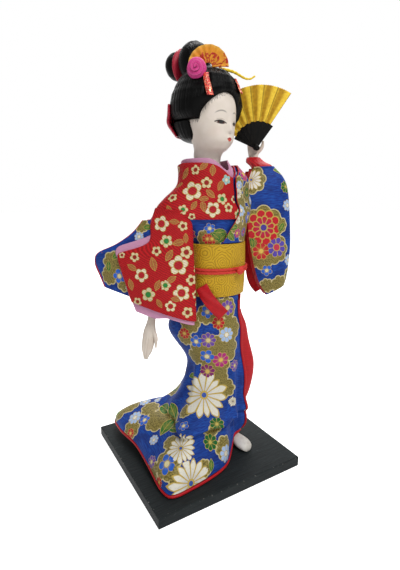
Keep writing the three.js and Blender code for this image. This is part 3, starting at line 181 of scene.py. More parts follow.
# %% Panels and round bodies
def build(name, points, faces, body, finishes, uv=None, lining=None):
    """A smooth mesh from points in metres and arrays of face corners, turned so that faces look out.

    uv gives a pair for each face corner, lining the faces that take the second finish.
    """
    corners = np.concatenate([f.ravel() for f in faces])
    sizes = np.concatenate([np.full(len(f), f.shape[1]) for f in faces])
    firsts = np.cumsum(sizes) - sizes
    a, b, c = (points[corners[firsts + k]] for k in range(3))
    d = points[corners[firsts + np.where(sizes > 3, 3, 2)]]
    middle = points.mean(axis=0)
    volume = ((a - middle) * (np.cross(b - middle, c - middle) + np.cross(c - middle, d - middle))).sum()
    if volume < 0:
        start = firsts.repeat(sizes)
        order = 2 * start + sizes.repeat(sizes) - 1 - np.arange(len(corners))
        corners = corners[order]
        uv = None if uv is None else uv[order]
    mesh = bpy.data.meshes.new(name)
    mesh.vertices.add(len(points))
    mesh.vertices.foreach_set("co", points.ravel())
    mesh.loops.add(len(corners))
    mesh.loops.foreach_set("vertex_index", corners.astype(np.int32))
    mesh.polygons.add(len(sizes))
    mesh.polygons.foreach_set("loop_start", firsts.astype(np.int32))
    mesh.polygons.foreach_set("use_smooth", np.ones(len(sizes), bool))
    for finish in finishes:
        mesh.materials.append(finish)
    if lining is not None and len(finishes) > 1:
        mesh.polygons.foreach_set("material_index", lining.astype(np.int32))
    mesh.update(calc_edges=True)
    if uv is not None:
        mesh.uv_layers.new(name="cloth").data.foreach_set("uv", uv.astype(np.float32).ravel())
    piece = bpy.data.objects.new(name, mesh)
    bpy.context.scene.collection.objects.link(piece)
    if body:
        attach(piece, body)
    print(name, len(sizes), "faces")
    return piece


def quads(*corners):
    """Faces from four corners, each a (row, column, side) triple of arrays."""
    return np.stack([np.stack(np.broadcast_arrays(*corner), axis=-1) for corner in corners], axis=1)


def panel(name, outer, inner, finishes, around=False, body="doll", place=on_board):
    """A closed panel between two grids of points, with a map of its arc lengths in millimetres."""
    rows, columns = outer.shape[:2]
    spans = columns if around else columns - 1
    r, c = (g.ravel() for g in np.meshgrid(np.arange(rows - 1), np.arange(spans), indexing="ij"))
    front = quads((r, c, 0), (r, c + 1, 0), (r + 1, c + 1, 0), (r + 1, c, 0))
    back = quads((r, c, 1), (r + 1, c, 1), (r + 1, c + 1, 1), (r, c + 1, 1))
    k, low = np.arange(spans), rows - 1
    rims = [quads((0, k + 1, 0), (0, k, 0), (0, k, 1), (0, k + 1, 1)),
            quads((low, k, 0), (low, k + 1, 0), (low, k + 1, 1), (low, k, 1))]
    if not around:
        k, far = np.arange(rows - 1), columns - 1
        rims += [quads((k, 0, 0), (k + 1, 0, 0), (k + 1, 0, 1), (k, 0, 1)),
                 quads((k + 1, far, 0), (k, far, 0), (k, far, 1), (k + 1, far, 1))]
    triples = np.concatenate([front, back, *rims])
    row, column, side = np.moveaxis(triples, -1, 0)
    faces = side * rows * columns + row * columns + column % columns
    ring = np.concatenate([outer, outer[:, :1]], axis=1) if around else outer
    across = np.linalg.norm(np.diff(ring, axis=1), axis=2).mean(axis=0)
    down = np.linalg.norm(np.diff(outer, axis=0), axis=2).mean(axis=1)
    u, v = (np.concatenate([[0], np.cumsum(step)]) for step in (across, down))
    uv = np.stack([u[column], v[row]], axis=-1).reshape(-1, 2)
    points = place(np.concatenate([outer.reshape(-1, 3), inner.reshape(-1, 3)]))
    return build(name, points, [faces], body, finishes, uv, np.arange(len(faces)) >= len(front))


def round_body(name, rings, finishes, body="doll", place=on_board):
    """A closed body through rings of points, with a fan of triangles over its first and last ring."""
    count, sides = rings.shape[:2]
    r, c = (g.ravel() for g in np.meshgrid(np.arange(count - 1), np.arange(sides), indexing="ij"))
    next_c = (c + 1) % sides
    here, there = r * sides, (r + 1) * sides
    walls = np.stack([here + c, here + next_c, there + next_c, there + c], axis=-1)
    k = np.arange(sides)
    ahead = (k + 1) % sides
    first, last = count * sides, count * sides + 1
    low = np.stack([ahead, k, np.full(sides, first)], axis=-1)
    top = (count - 1) * sides
    high = np.stack([top + k, top + ahead, np.full(sides, last)], axis=-1)
    points = np.concatenate([rings.reshape(-1, 3), rings[[0, -1]].mean(axis=1)])
    run = np.concatenate([[0], np.cumsum(np.linalg.norm(np.diff(rings, axis=0), axis=2).mean(axis=1))])
    ring_length = np.linalg.norm(np.roll(rings, -1, axis=1) - rings, axis=2).sum(axis=1).max()
    u = np.arange(sides + 1) / sides * ring_length
    wall_uv = np.stack([np.stack([u[c + i], run[r + j]], -1) for i, j in ((0, 0), (1, 0), (1, 1), (0, 1))],
                       axis=1)
    cap_uv = [np.stack([np.stack([u[k + i], np.full(sides, end)], -1) for i in (1, 0, 0)], axis=1)
              for end in (0.0, run[-1])]
    uv = np.concatenate([wall_uv.reshape(-1, 2), cap_uv[0].reshape(-1, 2), cap_uv[1].reshape(-1, 2)])
    return build(name, place(points), [walls, low, high], body, finishes, uv)


def tube_rings(path, widths, depths, side, sides=24):
    """Rings along a path: centre + width * cos around one axis + depth * sin around the other."""
    path = np.asarray(path, float)
    ahead = np.gradient(path, axis=0)
    ahead /= np.linalg.norm(ahead, axis=1, keepdims=True)
    depth = np.cross(ahead, side)
    depth /= np.linalg.norm(depth, axis=1, keepdims=True)
    width = np.cross(depth, ahead)
    turn = np.linspace(0, 2 * np.pi, sides, endpoint=False)[None, :, None]
    return (path[:, None] + np.asarray(widths)[:, None, None] * np.cos(turn) * width[:, None]
            + np.asarray(depths)[:, None, None] * np.sin(turn) * depth[:, None])

# %% [markdown]
# ## Writing shaders as expressions
#
# A brocade needs dozens of Math nodes. Wired one by one they can't be read, so one small class
# stands for a socket: arithmetic on it adds the Math node, and `node` adds any other kind.

# %% Sockets in expressions
class Wire:
    """A socket of a node tree that can be used in arithmetic."""

    def __init__(self, tree, socket=None):
        self.tree, self.socket = tree, socket

    def node(self, kind, settings=None, inputs=None, output=0):
        """Adds a node: settings are set first, then its sockets get their values or links."""
        made = self.tree.nodes.new("ShaderNode" + kind)
        for key, value in (settings or {}).items():
            setattr(made, key, value)
        for key, value in (inputs or {}).items():
            if isinstance(value, Wire):
                self.tree.links.new(value.socket, made.inputs[key])
            else:
                made.inputs[key].default_value = value
        return Wire(self.tree, made.outputs[output])

    def math(self, operation, *values):
        """A Math node of that operation, with this value first."""
        return self.node("Math", {"operation": operation}, dict(enumerate((self, *values))))

    def __add__(self, other):
        return self.math("ADD", other)

    def __sub__(self, other):
        return self.math("SUBTRACT", other)

    def __rsub__(self, other):
        return (self * -1.0) + other

    def __mul__(self, other):
        return self.math("MULTIPLY", other)

    def __truediv__(self, other):
        return self.math("DIVIDE", other)

    def __lt__(self, other):
        return self.math("LESS_THAN", other)

    def __gt__(self, other):
        return self.math("GREATER_THAN", other)

    def __or__(self, other):
        return self.math("MAXIMUM", other)

    def __and__(self, other):
        return self.math("MINIMUM", other)

    def __abs__(self):
        return self.math("ABSOLUTE")

    __radd__, __rmul__ = __add__, __mul__

    def rise(self, low, high):
        """0 below low, 1 above high, and a soft step between them."""
        return self.node("MapRange", {"interpolation_type": "SMOOTHSTEP"},
                         {"Value": self, "From Min": low, "From Max": high})

    def shows(self, over, under):
        """As a mask: the colour over where it is 1, the colour under where it is 0."""
        return self.node("Mix", {"data_type": "RGBA"}, {0: self, 6: under, 7: over}, output=2)

    def parts(self):
        """The three numbers of a vector."""
        split = self.node("SeparateXYZ", inputs={0: self}).socket.node
        return [Wire(self.tree, split.outputs[k]) for k in range(3)]


def dye(code, alpha=1.0):
    """A screen colour such as "c8161e" as the linear red, green, blue and alpha of a socket."""
    levels = np.array([int(code[k:k + 2], 16) for k in (0, 2, 4)]) / 255
    linear = np.where(levels < 0.04045, levels / 12.92, ((levels + 0.055) / 1.055) ** 2.4)
    return (*(float(v) for v in linear), alpha)


print("dye of c8161e", dye("c8161e"))

# %% [markdown]
# ## A finish in one call
#
# Every finish is a Principled shader. What is the same all over is set on its sockets; what varies
# is an expression that feeds its colour, roughness, metal or bump.

# %% Starting a finish
def new_finish(name, **constants):
    """An empty material with constants on its shader: the wire to start from, and the shader."""
    material = bpy.data.materials.new(name)
    material.use_nodes = True
    shader = material.node_tree.nodes["Principled BSDF"]
    for socket, value in constants.items():
        shader.inputs[socket.replace("_", " ")].default_value = value
    return material, Wire(material.node_tree), shader


def feed(shader, **wires):
    """Links expressions to the shader's sockets, and a height to its normal by way of a bump."""
    for socket, wire in wires.items():
        if socket == "Height":
            height, distance = wire
            wire = height.node("Bump", inputs={"Height": height, "Strength": 0.6, "Distance": distance})
            socket = "Normal"
        wire.tree.links.new(wire.socket, shader.inputs[socket.replace("_", " ")])


def cloth_place(start, across=1.0, down=1.0):
    """The piece's own map in millimetres, scaled, as a vector for a texture."""
    uv = start.node("UVMap", {"uv_map": "cloth"})
    return start.node("Mapping", inputs={"Vector": uv, "Scale": (across, down, 1.0)})


def object_place(start, scale):
    """Object coordinates in millimetres, scaled, as a vector for a texture."""
    where = start.node("TexCoord", output="Object")
    size = tuple(v * 1000 for v in scale)
    return start.node("Mapping", inputs={"Vector": where, "Scale": size})


def noise(place, scale=1.0, detail=2.0, rough=0.5):
    """Cloudy noise from 0 to 1 about a middle of one half."""
    inputs = {"Vector": place, "Scale": scale, "Detail": detail, "Roughness": rough}
    return place.node("TexNoise", {"noise_dimensions": "3D"}, inputs)


def attribute(start, name, output="Fac"):
    """A number, colour or vector that the mesh carries."""
    return start.node("Attribute", {"attribute_name": name}, output=output)

# %% [markdown]
# ## Flowers in the cloth
#
# The blue and red cloths are strewn with round flowers and leaves that never quite repeat. A tiled
# picture would show its edges, so each face of the cloth instead knows its nearest flower: where in
# the flower it lies, how many petals that has, and its colours. One formula then draws every flower.

# %% The flower formula
GOLD_THREAD = dye("c6ab52")


def flower(start):
    """Masks inside, lines and eye of the nearest flower or leaf.

    In a flower, a petal's rim is 1 - d * across^2, where across is 0 on the petal's middle line
    and 1 at its border, and d shrinks with the number of petals. More than twelve petals are
    pointed and uneven in length; ten have a second, inner row that is shifted by half a petal. A
    leaf is the lens |y| < 0.5 (1 - x^2).
    """
    x, y, petals = attribute(start, "bloom", "Vector").parts()
    eye_size = attribute(start, "eye", "Alpha")
    away = (x * x + y * y).math("SQRT")
    count = y.math("ARCTAN2", x) * petals / (2 * math.pi)
    step = count.math("FRACT")
    across = abs(step - 0.5) * 2.0
    dip = petals.math("MAXIMUM", 4.0).math("POWER", -1.0) * 1.7
    uneven = (count.math("FLOOR") * 2.4).math("SINE") * 0.08 + 0.08
    rim = 1.0 - dip * across * across - (petals > 12.0) * (uneven + 0.12 * across)
    shifted = 1.0 - across
    inner_rim = 0.62 * (1.0 - dip * shifted * shifted)
    two_rows = (petals > 9.0) & (petals < 12.0)
    inner = (away < inner_rim) & two_rows
    across = across + inner * (1.0 - 2.0 * across)
    border = (((1.0 - across) * away * math.pi / petals) < 0.012 + 0.03 * away) & (away > eye_size)
    lines = border | (away > rim - 0.07) | (abs(away - eye_size) < 0.035)
    lines = lines | ((abs(away - inner_rim) < 0.035) & two_rows)
    inside = away < rim
    half = 0.5 * (1.0 - x * x)
    vein = ((x * 2.5 + abs(y) * 2.5).math("FRACT") < 0.05) | (abs(y) < 0.025)
    leaf = petals < 0.5
    leaf_lines = vein | (abs(y) > half - 0.06)
    inside = inside + leaf * ((abs(y) < half) - inside)
    lines = (lines + leaf * (leaf_lines - lines)) & inside
    eye = (away < eye_size) & (1.0 - leaf)
    return inside, lines, eye, away


def embroidered(start, ground):
    """The ground colour with the nearest flower on it, and the flower's thread lines as a mask."""
    inside, lines, eye, away = flower(start)
    petal = attribute(start, "petal", "Color")
    deep = away.rise(0.95, 0.1).shows(attribute(start, "eye", "Color"), petal)
    petal = (away.rise(0.7, 0.15) * 0.25).shows(deep, petal)
    petal = eye.shows(attribute(start, "eye", "Color"), petal)
    petal = lines.shows(GOLD_THREAD, petal)
    return inside.shows(petal, ground), inside, lines

# %% Strewing flowers
def set_attribute(piece, name, kind, domain, values):
    """Stores an array on the mesh under a name that shaders read."""
    layer = piece.data.attributes.new(name, kind, domain)
    key = {"FLOAT": "value", "FLOAT_VECTOR": "vector", "FLOAT_COLOR": "color"}[kind]
    layer.data.foreach_set(key, np.ascontiguousarray(values, np.float32).ravel())


def corner_points(piece):
    """Every face corner's place, and each face's middle. All faces have four corners."""
    mesh = piece.data
    points = np.empty(len(mesh.vertices) * 3)
    mesh.vertices.foreach_get("co", points)
    corners = np.empty(len(mesh.loops), np.int64)
    mesh.loops.foreach_get("vertex_index", corners)
    at = points.reshape(-1, 3)[corners]
    return points.reshape(-1, 3), at, at.reshape(-1, 4, 3).mean(axis=1)


def embroider(piece, blooms, clouds=()):
    """Gives every face its nearest flower, measured in the flower's own radii, and a cloud depth.

    The place in a flower keeps the true distance from its middle, so flowers stay round on curved
    cloth. The cloud depth is the largest of radius - distance over all cloud circles.
    """
    points, at, middles = corner_points(piece)
    centre = np.array([b["at"] for b in blooms])
    radius = np.array([b["radius"] for b in blooms]) * MM
    gap = np.linalg.norm(middles[:, None] - centre[None], axis=2) / radius
    owner = np.repeat(gap.argmin(axis=1), 4)
    offset = at - centre[owner]
    x = (offset * np.array([b["right"] for b in blooms])[owner]).sum(axis=1)
    y = (offset * np.array([b["up"] for b in blooms])[owner]).sum(axis=1)
    true = np.linalg.norm(offset, axis=1) / np.maximum(np.hypot(x, y), 1e-6) / radius[owner]
    petals = np.array([b["petals"] for b in blooms], float)[owner]
    set_attribute(piece, "bloom", "FLOAT_VECTOR", "CORNER", np.stack([x * true, y * true, petals], -1))
    set_attribute(piece, "petal", "FLOAT_COLOR", "CORNER", np.array([b["petal"] for b in blooms])[owner])
    set_attribute(piece, "eye", "FLOAT_COLOR", "CORNER", np.array([b["eye"] for b in blooms])[owner])
    depth = np.full(len(points), -1.0)
    for middle, size in clouds:
        depth = np.maximum(depth, size - np.linalg.norm(points - middle, axis=1) / MM)
    set_attribute(piece, "cloud", "FLOAT", "POINT", depth)


def bloom(surface, column, row, radius, petals, petal, eye, eye_size=0.3, turn=0.0):
    """One flower on a surface: its middle, and two directions in the cloth, turned by an angle."""
    nudge = 0.5
    grid = np.array([[column, row], [column + nudge, row], [column, row + nudge / 100]])
    middle, ahead, below = on_board(surface(grid[:, 0], grid[:, 1]))
    right = (ahead - middle) / np.linalg.norm(ahead - middle)
    face = np.cross(right, below - middle)
    face /= np.linalg.norm(face)
    up = np.cross(face, right)
    c, s = math.cos(math.radians(turn)), math.sin(math.radians(turn))
    return {"at": middle, "right": c * right + s * up, "up": c * up - s * right, "radius": radius,
            "petals": petals, "petal": dye(petal), "eye": dye(eye, eye_size)}


def strew(surface, blooms, kinds, columns, rows, count, seed, gap=1.0):
    """Adds random flowers of the given kinds wherever they touch none that is already there."""
    dice = np.random.default_rng(seed)
    blooms = list(blooms)
    for _ in range(count):
        radius, petals, petal, eye, eye_size = kinds[dice.integers(len(kinds))]
        spot = (dice.uniform(*columns), dice.uniform(*rows))
        new = bloom(surface, *spot, radius * dice.uniform(0.85, 1.15), petals, petal, eye, eye_size,
                    dice.uniform(0, 360))
        gaps = [np.linalg.norm(new["at"] - b["at"]) / MM - b["radius"] - new["radius"] for b in blooms]
        if min(gaps, default=gap) >= gap:
            blooms.append(new)
    return blooms

# %% [markdown]
# ## The cloths
#
# Four kinds of cloth dress the doll: blue figured silk with gold cloud shapes, red crepe with
# diagonal ribs, plain satin for linings and ribbons, and a heavy gold weave for the sash.

# %% Blue figured silk
def blue_silk():
    """Deep blue with gold clouds under the flowers; raised threads make the bump."""
    finish, start, shader = new_finish("blue_silk", Specular_IOR_Level=0.2)
    cloth = cloth_place(start)
    weave = noise(cloth, 0.9, 3.0, 0.7)
    slow = noise(cloth, 0.09, 2.0)
    u, v, _ = cloth.parts()
    threads = noise(cloth_place(start, 0.25, 1.5), 1.0, 2.0)
    blue = threads.rise(0.35, 0.65).shows(dye("1d4fa8"), dye("112e7e"))
    blue = (slow.rise(0.4, 0.7) * 0.65).shows(dye("0e2264"), blue)
    cloud = attribute(start, "cloud")
    scales = ((u * 4.4).math("SINE") * (v * 3.2).math("SINE")).rise(-0.2, 0.5)
    gold = weave.rise(0.35, 0.65).shows(dye("aa9850"), dye("5c5226"))
    gold = (scales * 0.4).shows(dye("4c451e"), gold)
    edge = abs(cloud - 0.4) < 0.35
    ground = (cloud > 0.0).shows(gold, blue)
    ground = edge.shows(dye("cdbf8c"), ground)
    colour, inside, lines = embroidered(start, ground)
    colour = (weave.rise(0.5, 0.75) * 0.3).shows(dye("14182c"), colour)
    metal = (cloud > 0.0) | lines
    feed(shader, Base_Color=colour, Roughness=0.62 - 0.2 * metal,
         Height=(lines * 0.5 + inside * 0.5 + weave * 0.6, 0.0003))
    return finish


# %% Red crepe
def red_crepe():
    """Red with ribs that run slantwise, sin(2 pi (u sin a + v cos a) / pitch), and flowers."""
    finish, start, shader = new_finish("red_crepe", Specular_IOR_Level=0.18)
    cloth = cloth_place(start)
    u, v, _ = cloth.parts()
    slant, pitch = math.radians(28), 1.5
    waver = noise(cloth, 0.35, 1.0) * 1.0
    rib = ((u * math.sin(slant) + v * math.cos(slant) + waver) * (2 * math.pi / pitch)).math("SINE")
    weave = noise(cloth, 1.0, 3.0, 0.7)
    # Rib crests are painted a lighter red and rib valleys a darker one: painted light and shade.
    red = rib.rise(-0.9, 0.9).shows(dye("c41a20"), dye("a2141a"))
    # Random lighter flecks from the weave noise, painted as highlights.
    red = (weave.rise(0.4, 0.8) * 0.3).shows(dye("d63a38"), red)
    colour, inside, lines = embroidered(start, red)
    # Painted shade: the rib valleys are darkened further.
    colour = ((1.0 - rib.rise(-0.9, 0.4)) * 0.16).shows(dye("4a1010"), colour)
    colour = (weave.rise(0.55, 0.75) * 0.25).shows(dye("6a1012"), colour)
    feed(shader, Base_Color=colour, Roughness=0.66 - 0.14 * lines,
         Height=(rib * 0.5 + lines * 0.3 + weave * 0.4, 0.00035))
    return finish


# %% Satin
def satin(name, light, dark, roughness=0.42):
    """Plain satin: fine threads along the cloth, painted in light and dark streaks as sheen."""
    finish, start, shader = new_finish(name, Specular_IOR_Level=0.25)
    threads = noise(cloth_place(start, 0.25, 4.0), 1.0, 3.0)
    slow = noise(cloth_place(start), 0.12, 2.0)
    # Painted sheen: light and dark streaks along the threads.
    colour = threads.rise(0.25, 0.75).shows(dye(light), dye(dark))
    colour = (slow.rise(0.4, 0.7) * 0.3).shows(dye(dark), colour)
    feed(shader, Base_Color=colour, Roughness=roughness + 0.18 * threads, Height=(threads, 0.00012))
    return finish


# %% Gold weave and glitter ribbon
def gold_weave():
    """Mustard gold with darker rings about scattered middles, as waves or swirls in the weave."""
    finish, start, shader = new_finish("gold_weave", Specular_IOR_Level=0.25)
    cloth = cloth_place(start)
    cells = start.node("TexVoronoi", {"voronoi_dimensions": "2D"},
                       {"Vector": cloth, "Scale": 0.085}, "Distance")
    swirl = noise(cloth, 0.16, 2.0)
    ring = ((cells * 7.0 + swirl * 2.2) * (2 * math.pi)).math("SINE")
    weave = noise(cloth_place(start, 3.2, 1.4), 1.0, 3.0)
    gold = weave.rise(0.25, 0.75).shows(dye("d8b02a"), dye("b48c18"))
    gold = (ring.rise(0.35, 0.95) * 0.7).shows(dye("876410"), gold)
    feed(shader, Base_Color=gold, Roughness=0.5 + 0.15 * weave, Metallic=0.1 + 0.12 * weave,
         Height=(weave * 0.6 - ring * 0.5, 0.00025))
    return finish


def glitter():
    """Red ribbon strewn with bright flecks, one in some of the cells of a fine mosaic."""
    finish, start, shader = new_finish("glitter", Specular_IOR_Level=0.6)
    place = object_place(start, (1.0, 1.0, 1.0))
    cells = start.node("TexVoronoi", inputs={"Vector": place, "Scale": 1.6}, output="Color")
    pick, tone, _ = cells.parts()
    fleck = pick > 0.55
    red = tone.rise(0.2, 0.9).shows(dye("d8261c"), dye("8e0f10"))
    colour = fleck.shows((tone > 0.6).shows(dye("f0a37c"), dye("e2401f")), red)
    feed(shader, Base_Color=colour, Roughness=0.55 - 0.25 * fleck, Metallic=0.3 * fleck,
         Height=(tone, 0.0003))
    return finish


BLUE_SILK = blue_silk()
RED_CREPE = red_crepe()
RED_SATIN = satin("red_satin", "cc1822", "a01019")
PINK_SILK = satin("pink_silk", "dba3c1", "c286a8", 0.5)
CORD_RED = satin("cord_red", "ea4a40", "b82a22", 0.5)
RIBBON_RED = satin("ribbon_red", "c4213c", "8c1228", 0.36)
GOLD_WEAVE = gold_weave()
GLITTER = glitter()
print("cloths:", [m.name for m in bpy.data.materials if m.users == 0])

# %% [markdown]
# ## Skin, hair, paper, lacquer, metal and board
#
# The hard finishes are quieter, but none is one flat colour: skin is faintly mottled, hair has
# streaks that follow the strands, foil is crumpled, and the board's edges are chipped.

# %% Painted skin and socks
def painted_skin(name, light, dark, roughness):
    """Warm off-white with soft mottling and a fine, even grain."""
    finish, start, shader = new_finish(name, Specular_IOR_Level=0.2)
    place = object_place(start, (1.0, 1.0, 1.0))
    mottle = noise(place, 0.16, 3.0)
    grain = noise(place, 3.0, 2.0)
    colour = mottle.rise(0.3, 0.7).shows(dye(light), dye(dark))
    feed(shader, Base_Color=colour, Roughness=roughness + 0.1 * mottle, Height=(grain, 0.00005))
    return finish


# %% Hair
def hair(name, across, along):
    """Black with grey streaks: noise that is fine across the strands and long along them."""
    finish, start, shader = new_finish(name, Specular_IOR_Level=0.05)
    strands = noise(cloth_place(start, across, along), 1.0, 4.0, 0.7)
    locks = noise(cloth_place(start, across / 5, along / 5), 1.0, 2.0)
    colour = strands.rise(0.55, 0.9).shows(dye("121214"), dye("020202"))
    feed(shader, Base_Color=colour, Roughness=0.2 + 0.22 * strands, Height=(strands + locks, 0.0004))
    return finish


# %% Paper, lacquer and metal
def gold_foil():
    """Crumpled gold paper; fold runs from 0 at one crease to 1 at the next, and sin(2 pi fold + 0.6)
    paints one side of each fold lit and the other shaded, and the creases are painted darker as shade."""
    finish, start, shader = new_finish("gold_foil", Specular_IOR_Level=0.3)
    place = object_place(start, (1.0, 1.0, 1.0))
    crumple = noise(place, 0.5, 4.0)
    fold = attribute(start, "fold")
    # Painted shade along each crease.
    crease = abs(fold - 0.5).rise(0.43, 0.5) * 0.7
    # Painted light and shade: one side of each fold lit, the other shaded, from lit and shaded copies of
    # the gold.
    painted_fold_light = (fold * (2 * math.pi) + 0.6).math("SINE").rise(-0.9, 0.9)
    light = crumple.rise(0.3, 0.7).shows(dye("f6d444"), dye("e6bc34"))
    dark = crumple.rise(0.3, 0.7).shows(dye("c8981f"), dye("ac8019"))
    gold = painted_fold_light.shows(light, dark)
    gold = crease.shows(dye("805c18"), gold)
    feed(shader, Base_Color=gold, Roughness=0.45 + 0.2 * crumple, Metallic=0.25 - 0.2 * crease,
         Height=(crumple, 0.00012))
    return finish


def lacquer(name, dark, light, roughness):
    """Black lacquer with faint brush marks."""
    finish, start, shader = new_finish(name, Specular_IOR_Level=0.08)
    marks = noise(object_place(start, (0.6, 0.6, 0.08)), 1.0, 3.0)
    colour = marks.rise(0.4, 0.8).shows(dye(light), dye(dark))
    feed(shader, Base_Color=colour, Roughness=roughness + 0.15 * marks, Height=(marks, 0.0001))
    return finish


def steel():
    """Brushed steel: noise drawn out along the rod."""
    finish, start, shader = new_finish("steel", Metallic=1.0)
    brush = noise(object_place(start, (3.0, 3.0, 0.1)), 1.0, 3.0)
    colour = brush.rise(0.3, 0.7).shows(dye("b4b6ba"), dye("8c8e92"))
    feed(shader, Base_Color=colour, Roughness=0.28 + 0.2 * brush)
    return finish


def cotton():
    """Undyed cotton padding: a coarse, slubby weave."""
    finish, start, shader = new_finish("cotton", Roughness=0.9)
    slub = noise(object_place(start, (1.0, 1.0, 1.0)), 1.2, 4.0)
    feed(shader, Base_Color=slub.rise(0.3, 0.7).shows(dye("ece5d6"), dye("d4c9b4")), Height=(slub, 0.0004))
    return finish


# %% Board
BOARD_HALF = 58.0
BOARD_TOP = 8.0


def board_paint():
    """Charcoal paint, worn pale in specks along the edges.

    Closeness to an edge is 1 where two of the three distances to the board's faces are small.
    """
    finish, start, shader = new_finish("board_paint", Specular_IOR_Level=0.1)
    place = object_place(start, (1.0, 1.0, 1.0))
    x, y, z = place.parts()
    side_x, side_y = BOARD_HALF - abs(x), BOARD_HALF - abs(y)
    top = BOARD_TOP - z
    upper_edge = (side_x & side_y) | top
    corner = side_x | side_y
    edge = (upper_edge & corner).rise(1.3, 0.2)
    chips = noise(place, 0.55, 4.0, 0.7)
    grain = noise(object_place(start, (0.08, 1.6, 1.6)), 1.0, 3.0)
    paint = grain.rise(0.3, 0.75).shows(dye("252a2b"), dye("1a1e1f"))
    worn = edge * chips.rise(0.6, 0.66) * 0.7
    scuff = noise(place, 0.12, 5.0, 0.75).rise(0.62, 0.72) * 0.25
    colour = scuff.shows(dye("525857"), paint)
    colour = worn.shows(dye("a7a49a"), colour)
    feed(shader, Base_Color=colour, Roughness=0.5 + 0.2 * chips, Height=(grain + chips, 0.0002))
    return finish


SKIN = painted_skin("skin", "e9ddd0", "ddcfc0", 0.5)
SOCK = painted_skin("sock", "e4dfd6", "cfc9be", 0.8)
HAIR = hair("hair", 2.4, 0.05)
BUN_HAIR = hair("bun_hair", 0.05, 2.4)
FOIL = gold_foil()
LACQUER = lacquer("lacquer", "0c0b0a", "1c1916", 0.28)
STEEL = steel()
COTTON = cotton()
BOARD = board_paint()
BRIGHT_GOLD = satin("bright_gold", "f7dc3c", "e6bc22", 0.4)
print("finishes:", len(bpy.data.materials))

# %% [markdown]
# ## The body and its padding
#
# Every garment of the upper body follows one surface at its own distance, as real layers do. The
# stuffed form, the arm wraps and the skirt's padding hardly show, but they are real pieces.

# %% The body surface
BODY = [(104, 0, 0, 18, 13.5), (121.5, 0, 0, 18, 13.5), (159, 0, 0, 18, 14), (180, 0, 0.5, 21, 17),
        (191.5, -2, 3, 22, 16.5), (205, -3, 6, 19, 19), (220, -5, 10.5, 15.8, 17.5)]
SHOULDERS = [(155, 181, 22, 30, 13), (338, 188, 5, 26, 9), (325, 202.5, 5, 34, 8)]


def body_point(turn, z, offset):
    """An ellipse at each height, x + a cos, y + b sin, grown by the offset and the shoulders' bells."""
    turn, z, offset = np.broadcast_arrays(turn, z, offset)
    _, x, y, a, b = np.moveaxis(at_height(BODY, z), -1, 0)
    swell = sum(size * bump_at(apart(turn, middle), 0, spread) * bump_at(z, height, tall)
                for middle, height, size, spread, tall in SHOULDERS)
    t = np.radians(turn)
    reach = offset + swell
    return np.stack([x + (a + reach) * np.cos(t), y + (b + reach) * np.sin(t), z], axis=-1)


FULL_TURN = np.linspace(0, 360, 120, endpoint=False)
levels = np.linspace(104, 196, 60)[:, None]
form_rings = body_point(FULL_TURN[None], levels, 0.5 * np.sin(levels * 0.6))
form_top = body_point(FULL_TURN[None], np.array([[198.0], [199.5]]), np.array([[-0.6], [-4.0]]))
torso = round_body("stuffed_form", np.concatenate([form_rings, form_top]), [COTTON])
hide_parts("torso_form")

# %% Arm wraps
RIGHT_ARM = [(-12, 3, 192), (-24, 8, 188), (-33.5, 12, 174), (-41.5, 15, 150), (-45.8, 17.5, 122),
             (-47.3, 19.2, 108), (-47.9, 19.8, 99)]
LEFT_ARM = [(12, 3, 192), (25, -3, 191), (37, -11, 190), (44.5, -18.5, 195), (44, -11.5, 208),
            (45.2, -1.5, 215), (45.6, 3.2, 219), (47.2, 5.4, 226)]
for side, arm in (("right", RIGHT_ARM), ("left", LEFT_ARM)):
    along = route(arm, 101)[12:83]
    share = np.linspace(0, 1, len(along))
    wound = between(3.3, 2.9, share) + 0.12 * np.sin(share * 90)
    wrap = round_body(f"{side}_wrap", tube_rings(along, wound, wound, (0.2, 1, 0.1)), [COTTON])
    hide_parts(f"{side}_arm_wrap")

# %% [markdown]
# ## The skirt and its train
#
# The skirt hangs close over hips and knees, then runs out over the board in a long train with a
# padded edge. Its cross sections are ellipses down to the knees; below them each point moves out
# towards the hem's outline on the board. Folds are added as soft waves that fade out at the knees.

# %% The skirt surface
HEM = [(7, -17), (-9, -26.5), (-26, -35), (-57, -34), (-73, -29.5), (-74, -22), (-68, 0), (-62, 24),
       (-59, 50), (-51, 67), (-25, 57), (0, 42), (18, 26), (25, 6), (21, -10)]
WAIST, HIP, KNEE = (0, 0, 19, 14.5), (-1.5, 2, 22.5, 20), (0, 1, 20.4, 19.4)
SPREAD_HEIGHT = 29.0
HEM_TUCK = 0.22
SKIRT = [(121.2, 0, 1, *WAIST), (107, 0, 1, -1.5, 2, 21, 18), (96, 0, 1, *HIP),
         (82.4, 0, 1, -1.5, 2, 22, 20), (70.5, 0, 1, *KNEE), (62, 0, 1, *KNEE),
         (50.45, 0.06, 1, *KNEE), (37.25, 0.2, 1, *KNEE), (SPREAD_HEIGHT, 0.36, 1, *KNEE),
         (SPREAD_HEIGHT, 0.57, 0.8, *KNEE), (SPREAD_HEIGHT, 0.79, 0.47, *KNEE),
         (SPREAD_HEIGHT, 0.95, 0.07, *KNEE), (SPREAD_HEIGHT, 1, -HEM_TUCK, *KNEE)]
SKIRT_OUT = 2.4
SKIRT_IN = 1.4
hem_line = route(HEM, 720, closed=True)
hem_angle = np.degrees(np.arctan2(hem_line[:, 1], hem_line[:, 0])) % 360
hem_order = np.argsort(hem_angle)


def hem_reach(turn):
    """How far out the hem lies at an angle, read off its outline."""
    return np.interp(np.asarray(turn) % 360, hem_angle[hem_order],
                     np.hypot(*hem_line.T)[hem_order], period=360)


def hem_lift(turn):
    """The hem is lifted over the feet on both sides of the front opening."""
    return 9 * (1 - soft_step(np.abs(apart(turn, 312)), 40, 66))


